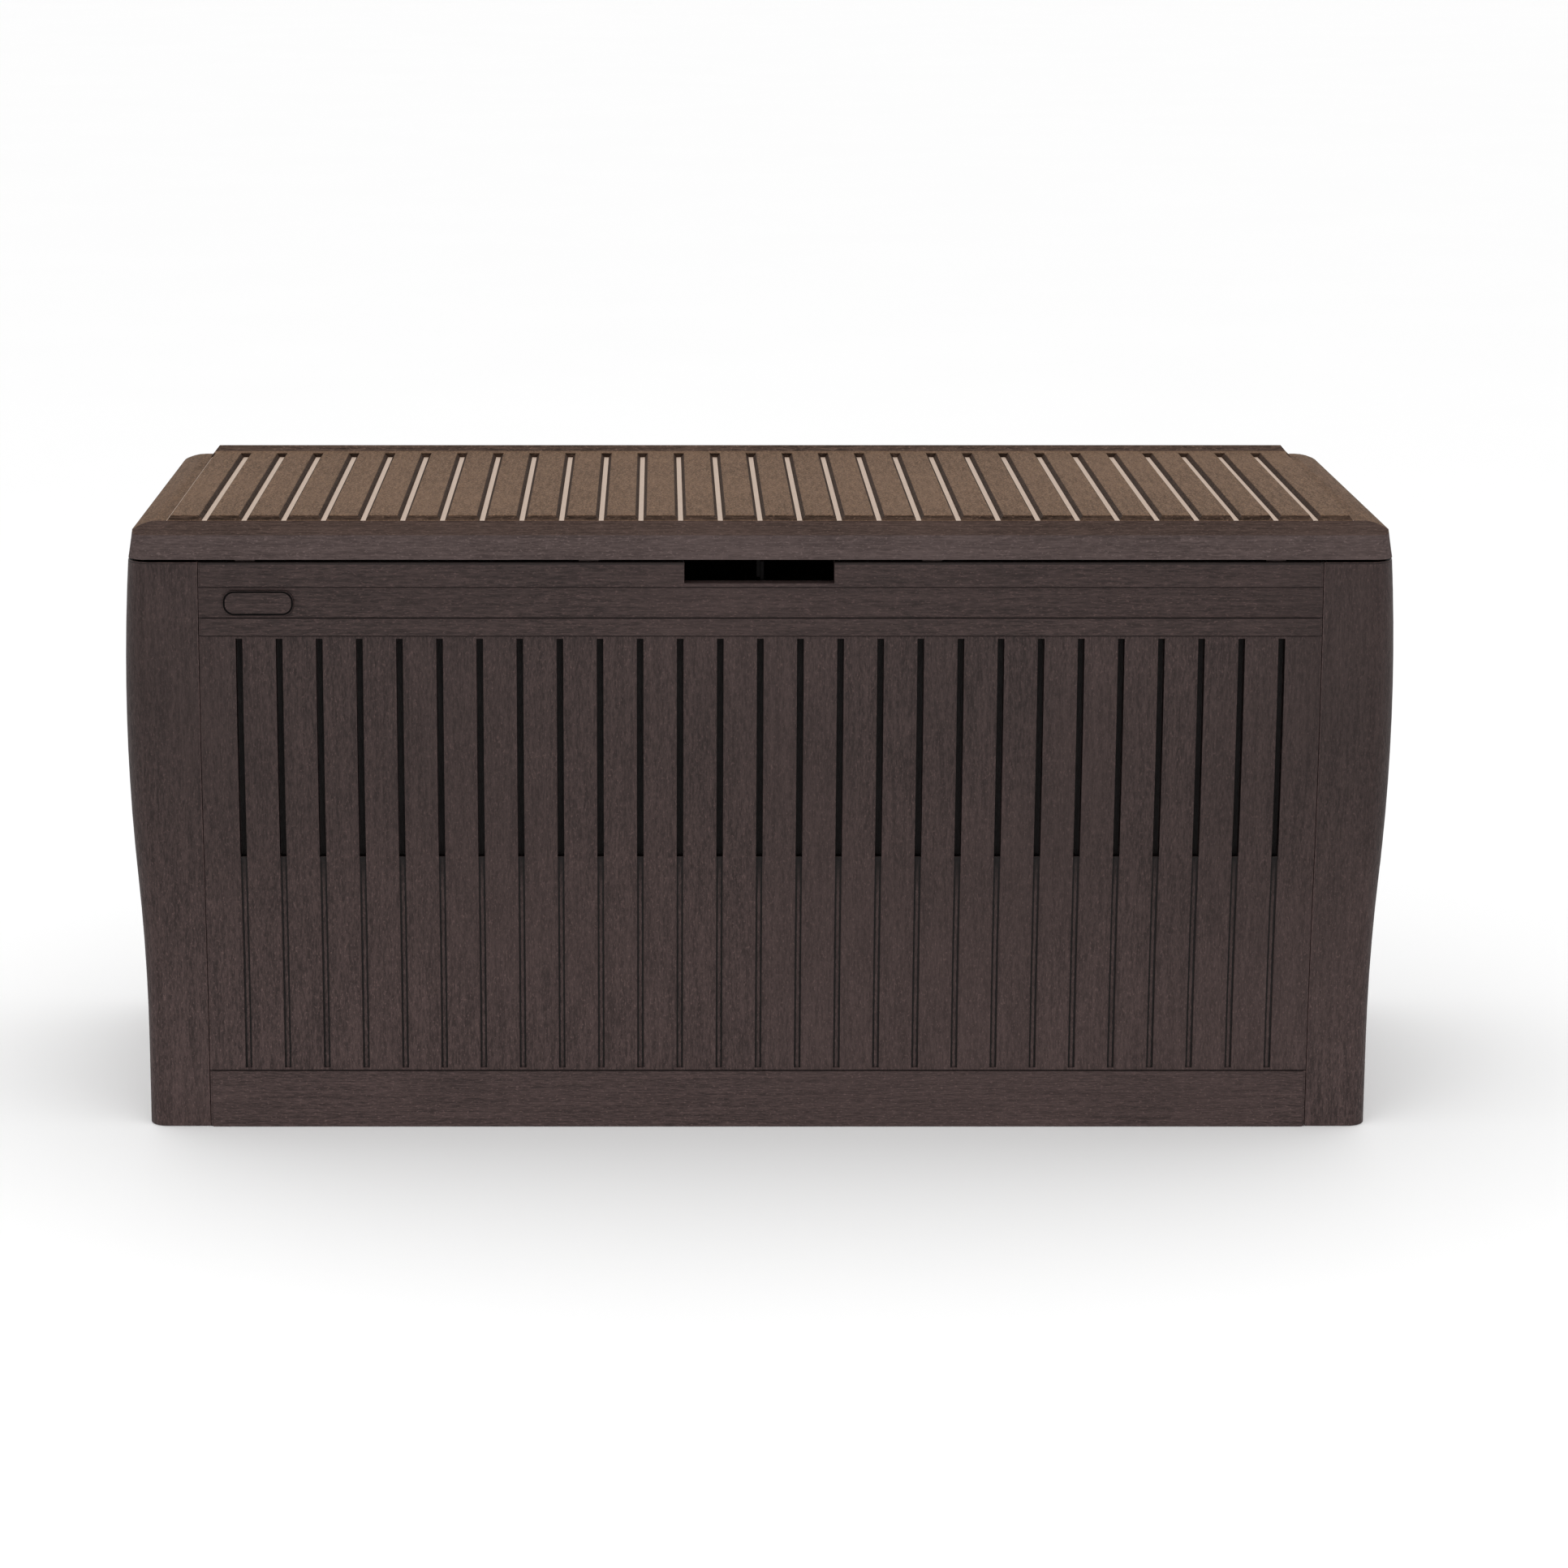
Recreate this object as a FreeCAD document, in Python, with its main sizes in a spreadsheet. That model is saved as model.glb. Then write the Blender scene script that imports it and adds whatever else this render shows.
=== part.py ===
import FreeCAD, Part
import math
import os

import Sketcher

# Deck storage box, millimetres. X runs along the front (right positive), -Y is the front, +Z is up.
# The origin is on the ground under the middle of the box.

DIMENSIONS = {
    # walls of the box: both the long and the end walls bulge like a barrel, then run into a straight foot
    "belly_half_width": 583.5,
    "belly_half_depth": 223.5,
    "belly_height": 400,
    "foot_height": 80,
    "foot_inset": 13.2,
    "wall_top": 538.5,
    "panel_half_width": 512.5,
    "seam_gap": 0.3,
    "panel_depth": 14,
    "skin": 2.8,
    "return_thick": 3,
    "return_reach": 182,
    "return_bottom": 34,
    "return_foot_reach": 202,
    "corner_radius": 30,
    "end_wall": 4,
    # how far cuts run past a face, how far fused blocks run into each other, a cut right through the box
    "overcut": 12,
    "bite": 1,
    "through": 1400,
    # slats moulded into the front wall
    "slat_pitch": 36.6,
    "groove_count": 27,
    "groove_wide": 6.2,
    "groove_deep": 2.2,
    "slot_deep": 11,
    "slot_bottom": 262,
    "groove_bottom": 57,
    "groove_top": 468.6,
    "channel_count": 28,
    "channel_wide": 24,
    "channel_bottom": 8,
    "channel_top": 508,
    # raised bands
    "band_proud": 1.5,
    "band_root": 2,
    "band_end_gap": 2.4,
    "top_band_low": 516.5,
    "mid_band_low": 471.6,
    "mid_band_high": 487.2,
    "low_band_high": 53.9,
    "line_high": 1,
    "line_deep": 1.1,
    # rims and ledges
    "ledge_low": 533,
    "front_ledge_reach": 196,
    "front_ledge_bite": 3,
    "end_ledge_reach": 566,
    "end_ledge_outer": 577.4,
    "sill_low": 20,
    "sill_high": 24,
    "sill_reach": 186,
    "front_sill_reach": 180,
    "end_sill_reach": 548,
    "end_sill_outer": 568,
    "end_sill_depth": 184,
    # finger notch under the lid and the blank plate beside it
    "notch_left": 69.6,
    "notch_right": 67.2,
    "notch_low": 519.6,
    "plate_left": 490,
    "plate_right": 425.6,
    "plate_low": 490,
    "plate_high": 513,
    "plate_back": 219.5,
    "plate_thick": 3.1,
    "plate_radius": 10,
    "plate_gap": 0.3,
    # back wall
    "back_face": 205,
    "back_thick": 3.2,
    "back_groove_deep": 1.5,
    "back_rib_count": 6,
    "back_rib_pitch": 170,
    "back_rib_thick": 3,
    "back_rib_deep": 8,
    # hand holds and grooves of the end walls
    "end_groove_count": 7,
    "end_groove_deep": 1.6,
    "hold_half_width": 52,
    "hold_low": 392,
    "hold_high": 432,
    "hold_deep": 22,
    "hold_wall": 2.8,
    "hold_rim_x": 581.5,
    # floor
    "floor_half_width": 565.6,
    "floor_front": 195.5,
    "floor_back": 191,
    "floor_thick": 2.8,
    "floor_rib_thick": 3,
    "floor_rib_low": 4,
    "floor_rib_clear": 4,
    "floor_cross_count": 7,
    "floor_cross_pitch": 180,
    "floor_long_pitch": 135,
    "floor_long_count": 3,
    "foot_radius": 20,
    "foot_spacing": 360,
    "foot_row": 135,
    "foot_columns": 3,
    # corner clips
    "clip_thick": 2,
    "clip_tall": 26,
    "clip_grip": 12,
    "clip_first": 90,
    "clip_pitch": 120,
    "clip_levels": 4,
    # hinge line along the top of the back wall
    "hinge_y": 216.5,
    "hinge_z": 533,
    "knuckle_radius": 6.5,
    "hinge_pin_radius": 2.5,
    "hinge_play": 0.08,
    "hinge_inner_x": 150,
    "hinge_outer_x": 430,
    "lid_knuckle_half": 10,
    "lid_leaf_low": 545,
    "lid_leaf_high": 566,
    "knuckle_gap": 0.5,
    "box_knuckle_wide": 12,
    "hinge_leaf_half": 30,
    "hinge_leaf_low": 498,
    "hinge_leaf_high": 529,
    "hinge_leaf_thick": 4,
    # lid shell
    "lid_half_width": 577.5,
    "lid_half_depth": 218,
    "lid_bottom": 541,
    "lid_crease": 563,
    "lid_draft_run": 3.5,
    "lid_upper_run": 1.5,
    "lid_corner_radius": 18,
    "lid_rear_radius": 6,
    "lid_floor": 572,
    "slat_top": 576.7,
    "lid_slope_back": 188,
    "slat_bevel_run": 3.5,
    "lid_slat_pitch": 36.35,
    "lid_gap_count": 29,
    "lid_gap_floor": 4,
    "lid_gap_mouth": 10.9,
    "lid_gap_front": 192,
    "lid_gap_back": 187,
    "field_top": 539.6,
    "field_floor": 543.3,
    "rail_top": 581,
    "rail_half_top": 538,
    "rail_half_foot": 545,
    "rail_crest_front": 210,
    "rail_foot_front": 200,
    "rail_back": 211.6,
    "lid_end_crest": 552,
    "lid_end_low": 566,
    "lid_hollow_x": 567.5,
    "lid_hollow_y": 211,
    "lid_roof_half": 546,
    "lid_beam_under": 561,
    "lid_beam_back": 187,
    "lid_roof_under": 569.2,
    "slat_crown": 2.6,
    "slat_hollow_wide": 20,
    "slat_hollow_front": 178,
    "slat_hollow_back": 182,
    "lid_slat_count": 30,
    "lug_half": 9,
    "lug_x": 470,
    "lug_count": 4,
    "lug_back": 203,
    "lug_clear": 0.2,
    # frame and tubes under the lid
    "frame_half_width": 545.5,
    "frame_front": 183,
    "frame_back": 203,
    "frame_low": 561,
    "frame_member": 16,
    "frame_rib_half": 5,
    "frame_rib_count": 5,
    "frame_rib_pitch": 180,
    "tube_radius": 8,
    "tube_bore": 6.5,
    "tube_half_length": 525,
    "tube_z": 557,
    "tube_front_y": 110,
    "tube_back_y": 90,
    "tube_notch_half": 8.6,
    "tube_notch_high": 565.1,
    "saddle_half": 6,
    "saddle_wall": 2.4,
    "saddle_play": 0.1,
    "saddle_low": 546.4,
    "plug_long": 10,
    "plug_head": 2,
    # padlock eyes
    "eye_y": 196.7,
    "eye_z": 529.5,
    "eye_radius": 4,
    "tab_gap": 0.2,
    "tab_thick": 3,
    "tab_front": 203.5,
    "tab_back": 190,
    "tab_top": 537,
    "tab_bottom": 522.5,
    "tab_foot_half": 20,
    "tab_foot_thick": 3.5,
    "tab_foot_edge": 2,
    "tab_foot_low": 484,
    "tab_foot_high": 514,
    "tab_foot_front": 205.9,
    # lid stays
    "stay_pivot_back": 120,
    "stay_pivot_drop": 12,
    "stud_back": 90,
    "stud_drop": 80,
    "stay_angle": 66.28,
    "stay_inner_x": 558.5,
    "stay_thick": 3,
    "stay_half": 10,
    "stay_slot_near": 70,
    "stay_slot_far": 228,
    "stay_slot_half": 4.6,
    "stay_end": 236,
    "stay_pin_radius": 4,
    "stay_play": 0.08,
    "rivet_head": 6.5,
    "rivet_head_thick": 2,
    "bracket_inner_x": 551,
    "bracket_outer_x": 558,
    "bracket_foot_x": 534,
    "bracket_half": 12.5,
    "bracket_foot_half": 18,
    "bracket_foot_thick": 3.5,
    "bracket_low": 510,
    "stud_flange_outer": 578.3,
    "stud_flange_inner": 568,
    "stud_flange_radius": 9,
    "stud_shoulder_inner": 562.3,
    "stud_shoulder_radius": 6.2,
    "stud_tip": 554.2,
    "cap_outer": 557.7,
    "cap_inner": 552.7,
    "cap_radius": 8,
}


class Size:
    """A length together with the spreadsheet formula that gives it."""

    def __init__(self, value, formula):
        self.value = float(value)
        self.formula = formula

    @staticmethod
    def of(item):
        if isinstance(item, Size):
            return item
        return Size(item, "(%r)" % float(item))

    def joined(self, sign, other, value):
        return Size(value, "(%s %s %s)" % (self.formula, sign, other.formula))

    def __add__(self, other):
        other = Size.of(other)
        return self.joined("+", other, self.value + other.value)

    def __sub__(self, other):
        other = Size.of(other)
        return self.joined("-", other, self.value - other.value)

    def __rsub__(self, other):
        return Size.of(other) - self

    def __mul__(self, other):
        other = Size.of(other)
        return self.joined("*", other, self.value * other.value)

    def __truediv__(self, other):
        other = Size.of(other)
        return self.joined("/", other, self.value / other.value)

    def __neg__(self):
        return Size(-self.value, "(-1 * %s)" % self.formula)

    def root(self):
        return Size(math.sqrt(self.value), "sqrt(%s)" % self.formula)

    def arc_tangent(self):
        return Size(math.degrees(math.atan(self.value)), "atan(%s)" % self.formula)

    __radd__ = __add__
    __rmul__ = __mul__


class Dimensions:
    """Every driving dimension as a Size, read as an attribute."""

    def __init__(self, table):
        for name, value in table.items():
            setattr(self, name, Size(value, "dimensions." + name))


doc = FreeCAD.newDocument("deck_storage_box")
d = Dimensions(DIMENSIONS)
ZERO = Size(0, "0")
NEARLY_ZERO = 1e-9
SMALLEST_CHANGE = 1.0
nodes = []


def fill_sheet():
    sheet = doc.addObject("Spreadsheet::Sheet", "dimensions")
    for row, (name, value) in enumerate(DIMENSIONS.items(), start=1):
        sheet.set("A%d" % row, name)
        sheet.set("B%d" % row, str(value))
        sheet.setAlias("B%d" % row, name)
    doc.recompute()


# ---------------------------------------------------------------- small builders

def bind(thing, path, size):
    thing.setExpression(path, Size.of(size).formula)


def box(name, x, y, z):
    """A block between two values along each axis."""
    block = doc.addObject("Part::Box", name)
    for low, high, length, axis in ((x[0], x[1], "Length", "x"), (y[0], y[1], "Width", "y"),
                                    (z[0], z[1], "Height", "z")):
        low = Size.of(low)
        high = Size.of(high)
        if low.value > high.value:
            low, high = high, low
        bind(block, length, high - low)
        bind(block, "Placement.Base." + axis, low)
    return block


def rod(name, x, y, z, radius):
    """A round bar along X, from x[0] to x[1], centred on (y, z)."""
    bar = doc.addObject("Part::Cylinder", name)
    along_x = FreeCAD.Rotation(FreeCAD.Vector(0, 1, 0), 90)
    bar.Placement = FreeCAD.Placement(FreeCAD.Vector(0, 0, 0), along_x)
    low = Size.of(x[0])
    high = Size.of(x[1])
    if low.value > high.value:
        low, high = high, low
    bind(bar, "Radius", radius)
    bind(bar, "Height", high - low)
    bind(bar, "Placement.Base.x", low)
    bind(bar, "Placement.Base.y", y)
    bind(bar, "Placement.Base.z", z)
    return bar


def post(name, x, y, z, radius):
    """A round upright from z[0] to z[1], centred on (x, y)."""
    bar = doc.addObject("Part::Cylinder", name)
    bind(bar, "Radius", radius)
    bind(bar, "Height", Size.of(z[1]) - z[0])
    bind(bar, "Placement.Base.x", x)
    bind(bar, "Placement.Base.y", y)
    bind(bar, "Placement.Base.z", z[0])
    return bar


def fuse(name, pieces):
    joined = doc.addObject("Part::MultiFuse", name)
    joined.Shapes = pieces
    joined.Refine = True
    return joined


def cut(name, base, tool):
    result = doc.addObject("Part::Cut", name)
    result.Base = base
    result.Tool = tool
    result.Refine = True
    return result


def group(name, pieces):
    """Several separate solids kept as one node."""
    together = doc.addObject("Part::Compound", name)
    together.Links = pieces
    return together


def mirrored(name, source):
    """The left-hand twin of a right-hand part."""
    twin = doc.addObject("Part::Mirroring", name)
    twin.Source = source
    twin.Normal = FreeCAD.Vector(1, 0, 0)
    return twin


def keep(thing, label):
    thing.Label = label
    nodes.append(thing)
    return thing


def centred(count, pitch):
    """Evenly spaced places either side of zero."""
    return [(index - (count.value - 1) / 2) * pitch for index in range(int(count.value))]


# ---------------------------------------------------------------- sketches and features

def origin_feature(body, role):
    return next(item for item in body.Origin.OriginFeatures if item.Role == role)


def arc_between(start, end, radius, side):
    """Arc from start to end; side is +1 when its centre lies on the left of the way along."""
    span_u = end[0] - start[0]
    span_v = end[1] - start[1]
    span = math.hypot(span_u, span_v)
    reach = side * math.sqrt(max(radius * radius - span * span / 4, 0))
    centre_u = (start[0] + end[0]) / 2 - reach * span_v / span
    centre_v = (start[1] + end[1]) / 2 + reach * span_u / span
    first, last = (start, end) if side > 0 else (end, start)
    first_angle = math.atan2(first[1] - centre_v, first[0] - centre_u)
    last_angle = math.atan2(last[1] - centre_v, last[0] - centre_u)
    circle = Part.Circle(FreeCAD.Vector(centre_u, centre_v, 0), FreeCAD.Vector(0, 0, 1), radius)
    return Part.ArcOfCircle(circle, first_angle, last_angle)


def pin_point(sketch, edge, end, point):
    """Tie one end of a sketch edge to driven coordinates."""
    for kind, axis, size in (("DistanceX", -2, point[0]), ("DistanceY", -1, point[1])):
        if abs(size.value) < NEARLY_ZERO:
            sketch.addConstraint(Sketcher.Constraint("PointOnObject", edge, end, axis))
            continue
        index = sketch.addConstraint(Sketcher.Constraint(kind, -1, 1, edge, end, size.value))
        sketch.setExpression("Constraints[%d]" % index, size.formula)


def draw_loop(sketch, points, arcs=None):
    """Closed outline through the points; arcs maps an edge number to (radius, side)."""
    arcs = arcs or {}
    points = [(Size.of(u), Size.of(v)) for u, v in points]
    first = sketch.GeometryCount
    count = len(points)
    starts = []
    ends = []
    for index in range(count):
        here = (points[index][0].value, points[index][1].value)
        after = points[(index + 1) % count]
        there = (after[0].value, after[1].value)
        if index in arcs:
            radius, side = arcs[index]
            sketch.addGeometry(arc_between(here, there, radius.value, side), False)
            starts.append(1 if side > 0 else 2)
            ends.append(2 if side > 0 else 1)
        else:
            corners = [FreeCAD.Vector(u, v, 0) for u, v in (here, there)]
            sketch.addGeometry(Part.LineSegment(*corners), False)
            starts.append(1)
            ends.append(2)
    for index in range(count):
        after = (index + 1) % count
        sketch.addConstraint(Sketcher.Constraint("Coincident", first + index, ends[index],
                                                 first + after, starts[after]))
        pin_point(sketch, first + index, starts[index], points[index])
    for index, (radius, side) in arcs.items():
        number = sketch.addConstraint(Sketcher.Constraint("Radius", first + index, radius.value))
        sketch.setExpression("Constraints[%d]" % number, radius.formula)


def sketch_on(body, name, role, loops, shift=ZERO, aside=ZERO):
    """Sketch on an origin plane, moved by shift along the plane's normal and aside along its own x."""
    sketch = body.newObject("Sketcher::SketchObject", name)
    sketch.AttachmentSupport = (origin_feature(body, role), [""])
    sketch.MapMode = "FlatFace"
    offset = FreeCAD.Vector(aside.value, 0, shift.value)
    sketch.AttachmentOffset = FreeCAD.Placement(offset, FreeCAD.Rotation())
    bind(sketch, "AttachmentOffset.Base.x", aside)
    bind(sketch, "AttachmentOffset.Base.z", shift)
    for points, arcs in loops:
        draw_loop(sketch, points, arcs)
    return sketch


def volume_of(body):
    return body.Shape.Volume if not body.Shape.isNull() else 0.0


def sweep(body, kind, name, sketch, length, both_ways=True, backwards=False):
    """Pad or Pocket; stops the build if it does not change the volume the way it should."""
    before = volume_of(body)
    feature = body.newObject("PartDesign::" + kind, name)
    feature.Profile = sketch
    feature.SideType = "Symmetric" if both_ways else "One side"
    feature.Reversed = backwards
    bind(feature, "Length", length)
    doc.recompute()
    grown = volume_of(body) - before
    if (grown <= 0) == (kind == "Pad"):
        raise RuntimeError("%s changed the volume of %s by %.1f" % (name, body.Name, grown))
    return feature


def repeat(body, name, feature, role, pitch, count):
    before = volume_of(body)
    pattern = body.newObject("PartDesign::LinearPattern", name)
    pattern.Originals = [feature]
    pattern.Direction = (origin_feature(body, role), [""])
    pattern.Mode = "Spacing"
    bind(pattern, "Offset", pitch)
    bind(pattern, "Occurrences", count)
    body.Tip = pattern
    doc.recompute()
    if abs(volume_of(body) - before) < SMALLEST_CHANGE:
        raise RuntimeError("pattern %s did nothing" % name)
    return pattern


def rectangle(u, v):
    return ([(u[0], v[0]), (u[1], v[0]), (u[1], v[1]), (u[0], v[1])], {})


# ---------------------------------------------------------------- the barrel-shaped wall line

def swell_radius(inset):
    """Radius of the two equal arcs that join the belly to a foot set in by this much."""
    rise = d.belly_height - d.foot_height
    return (inset * inset + rise * rise) / (4 * inset)


def sag(radius, drop):
    return radius - (radius * radius - drop * drop).root()


def wall_line(face, inset, low, high, side):
    """Points and arcs of a wall line from its top to its foot.

    face is the distance of the belly from the middle, side is -1 or +1 for the way it faces.
    Travelling down a wall that faces +u, the belly arc has its centre on the right.
    """
    radius = swell_radius(inset)
    middle = (d.belly_height + d.foot_height) / 2
    turn = -1 if side > 0 else 1
    points = [(side * (face - sag(radius, high - d.belly_height)), high), (side * (face - inset / 2), middle)]
    arcs = {0: (radius, turn)}
    foot = d.foot_height
    if low.value < d.foot_height.value:
        points.append((side * (face - inset), foot))
        points.append((side * (face - inset), low))
    else:
        points.append((side * (face - inset + sag(radius, low - d.foot_height)), low))
    arcs[1] = (radius, -turn)
    return points, arcs


def wall_to_plane(face, inset, low, high, side, plane):
    """Area between a wall line and a straight upright line."""
    points, arcs = wall_line(face, inset, low, high, side)
    return points + [(side * plane, low), (side * plane, high)], arcs


def wall_to_wall(outer, inner, low, high, side):
    """Area between two wall lines, each given as (face, inset)."""
    outer_points, outer_arcs = wall_line(outer[0], outer[1], low, high, side)
    inner_points, inner_arcs = wall_line(inner[0], inner[1], low, high, side)
    points = outer_points + list(reversed(inner_points))
    arcs = dict(outer_arcs)
    last = len(points) - 2
    for index, (radius, turn) in inner_arcs.items():
        arcs[last - index] = (radius, -turn)
    return points, arcs


def belly_point(face, height, side):
    """Wall line at one height in the upper arc."""
    return (side * (face - sag(swell_radius(d.foot_inset), height - d.belly_height)), height)


# ---------------------------------------------------------------- front panel

def front_panel():
    body = doc.addObject("PartDesign::Body", "front_panel_body")
    face = d.belly_half_depth
    inner = face - d.panel_depth
    width = 2 * (d.panel_half_width - d.seam_gap)
    loop = wall_to_wall((face, d.foot_inset), (inner, d.foot_inset), ZERO, d.wall_top, -1)
    sweep(body, "Pad", "front_skin", sketch_on(body, "front_section", "YZ_Plane", [loop]), width)
    front_rails(body, inner, width)
    front_bands(body, face)
    front_lines(body, face)
    front_grooves(body, face, inner)
    front_openings(body)
    return keep(body, "front_panel")


def front_rails(body, inner, width):
    """Ledge under the lid, sill under the floor and the upright returns at both ends."""
    ledge = rectangle((-(inner - d.front_ledge_bite), -d.front_ledge_reach), (d.ledge_low, d.wall_top))
    sweep(body, "Pad", "front_ledge", sketch_on(body, "ledge_section", "YZ_Plane", [ledge]), width)
    sill = rectangle((-(inner - d.foot_inset + d.bite), -d.front_sill_reach), (d.sill_low, d.sill_high))
    sweep(body, "Pad", "front_sill", sketch_on(body, "sill_section", "YZ_Plane", [sill]), width)
    loop = wall_to_plane(inner + d.bite, d.foot_inset, d.return_bottom, d.ledge_low + d.bite, -1,
                         d.return_reach)
    for name, shift, backwards in (("right", d.panel_half_width - d.seam_gap, True),
                                   ("left", -(d.panel_half_width - d.seam_gap), False)):
        sketch = sketch_on(body, name + "_return_section", "YZ_Plane", [loop], shift)
        sweep(body, "Pad", name + "_return", sketch, d.return_thick, False, backwards)


def front_bands(body, face):
    """Three raised bands: one at the lid, one under the plain strip, one along the ground."""
    width = 2 * (d.panel_half_width - d.band_end_gap)
    root = face - d.band_root
    proud = face + d.band_proud
    for name, low, high in (("top", d.top_band_low, d.wall_top), ("middle", d.mid_band_low, d.mid_band_high)):
        points = [belly_point(root, low, -1), belly_point(proud, low, -1),
                  belly_point(proud, high, -1), belly_point(root, high, -1)]
        sketch = sketch_on(body, name + "_band_section", "YZ_Plane", [(points, {})])
        sweep(body, "Pad", name + "_band", sketch, width)
    low_band = rectangle((-(root - d.foot_inset), -(proud - d.foot_inset)), (ZERO, d.low_band_high))
    sweep(body, "Pad", "low_band", sketch_on(body, "low_band_section", "YZ_Plane", [low_band]), width)


def front_lines(body, face):
    """Fine shadow lines cut along the edges of the bands."""
    floor = face - d.line_deep
    loops = []
    for low in (d.top_band_low - d.line_high, d.mid_band_high, d.mid_band_low - d.line_high):
        high = low + d.line_high
        loops.append(([belly_point(floor, low, -1), belly_point(floor, high, -1),
                       (-(face + d.overcut), high), (-(face + d.overcut), low)], {}))
    loops.append(rectangle((-(face + d.overcut), -(floor - d.foot_inset)),
                           (d.low_band_high, d.low_band_high + d.line_high)))
    sketch = sketch_on(body, "band_line_section", "YZ_Plane", loops)
    sweep(body, "Pocket", "band_lines", sketch, 2 * d.panel_half_width)


def front_grooves(body, face, inner):
    """Grooves between the slats, deep slots in their upper part, hollow channels behind the slats."""
    first = (d.groove_count - 1) * d.slat_pitch / 2
    for name, deep, low in (("groove", d.groove_deep, d.groove_bottom), ("slot", d.slot_deep, d.slot_bottom)):
        loop = wall_to_plane(face - deep, d.foot_inset, low, d.groove_top, -1, face + d.overcut)
        sketch = sketch_on(body, name + "_section", "YZ_Plane", [loop], -first)
        groove = sweep(body, "Pocket", "front_" + name, sketch, d.groove_wide)
        repeat(body, "front_%ss" % name, groove, "X_Axis", d.slat_pitch, d.groove_count)
    first = (d.channel_count - 1) * d.slat_pitch / 2
    loop = wall_to_wall((face - d.skin, d.foot_inset), (inner - d.bite, d.foot_inset),
                        d.channel_bottom, d.channel_top, -1)
    sketch = sketch_on(body, "channel_section", "YZ_Plane", [loop], -first)
    channel = sweep(body, "Pocket", "slat_channel", sketch, d.channel_wide)
    repeat(body, "slat_channels", channel, "X_Axis", d.slat_pitch, d.channel_count)


def front_openings(body):
    """Finger notch through the top edge and the shallow seat of the blank plate."""
    notch = rectangle((-d.notch_left, d.notch_right), (d.notch_low, d.wall_top + d.overcut))
    sketch = sketch_on(body, "notch_outline", "XZ_Plane", [notch])
    sweep(body, "Pocket", "finger_notch", sketch, 2 * (d.belly_half_depth + d.overcut))
    sketch = sketch_on(body, "plate_seat_outline", "XZ_Plane", [plate_outline(d.plate_gap)], d.plate_back)
    sweep(body, "Pocket", "plate_seat", sketch, d.overcut, False, True)


def plate_outline(gap):
    """Outline of the plate, made larger all round by the gap."""
    left = -(d.plate_left + gap)
    right = -(d.plate_right - gap)
    low = d.plate_low - gap
    high = d.plate_high + gap
    r = d.plate_radius + gap
    points = [(left + r, low), (right - r, low), (right, low + r), (right, high - r),
              (right - r, high), (left + r, high), (left, high - r), (left, low + r)]
    return points, {1: (r, 1), 3: (r, 1), 5: (r, 1), 7: (r, 1)}


def blank_plate():
    """Plain rounded plate set into the smooth strip of the front panel."""
    body = doc.addObject("PartDesign::Body", "blank_plate_body")
    sketch = sketch_on(body, "plate_outline", "XZ_Plane", [plate_outline(ZERO)], d.plate_back)
    sweep(body, "Pad", "plate", sketch, d.plate_thick, False)
    return keep(body, "blank_plate")


# ---------------------------------------------------------------- back panel

def back_panel():
    """Flat wall set between the rear posts so that the hinges stay inside the outline."""
    body = doc.addObject("PartDesign::Body", "back_panel_body")
    inner = d.back_face - d.back_thick
    half = d.panel_half_width - d.seam_gap
    skin = rectangle((inner, d.back_face), (ZERO, d.wall_top))
    sweep(body, "Pad", "back_skin", sketch_on(body, "back_section", "YZ_Plane", [skin]), 2 * half)
    ledge = rectangle((d.sill_reach, inner + d.bite), (d.ledge_low, d.wall_top))
    sweep(body, "Pad", "back_ledge", sketch_on(body, "back_ledge_section", "YZ_Plane", [ledge]), 2 * half)
    sill = rectangle((d.sill_reach, inner + d.bite), (d.sill_low, d.sill_high))
    sweep(body, "Pad", "back_sill", sketch_on(body, "back_sill_section", "YZ_Plane", [sill]), 2 * half)
    for name, shift, backwards in (("right", half, True), ("left", -half, False)):
        edge = rectangle((d.return_reach, inner + d.bite), (d.return_bottom, d.ledge_low + d.bite))
        sketch = sketch_on(body, name + "_back_return_section", "YZ_Plane", [edge], shift)
        sweep(body, "Pad", name + "_back_return", sketch, d.return_thick, False, backwards)
    rib = rectangle((inner - d.back_rib_deep, inner + d.bite), (d.return_bottom, d.ledge_low + d.bite))
    first = (d.back_rib_count - 1) * d.back_rib_pitch / 2
    sketch = sketch_on(body, "back_rib_section", "YZ_Plane", [rib], -first)
    stiffener = sweep(body, "Pad", "back_rib", sketch, d.back_rib_thick)
    repeat(body, "back_ribs", stiffener, "X_Axis", d.back_rib_pitch, d.back_rib_count)
    groove = rectangle((d.back_face - d.back_groove_deep, d.back_face + d.overcut),
                       (d.groove_bottom, d.groove_top))
    first = (d.groove_count - 1) * d.slat_pitch / 2
    sketch = sketch_on(body, "back_groove_section", "YZ_Plane", [groove], -first)
    line = sweep(body, "Pocket", "back_groove", sketch, d.groove_wide)
    repeat(body, "back_grooves", line, "X_Axis", d.slat_pitch, d.groove_count)
    return keep(body, "back_panel")


# ---------------------------------------------------------------- end panels

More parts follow.
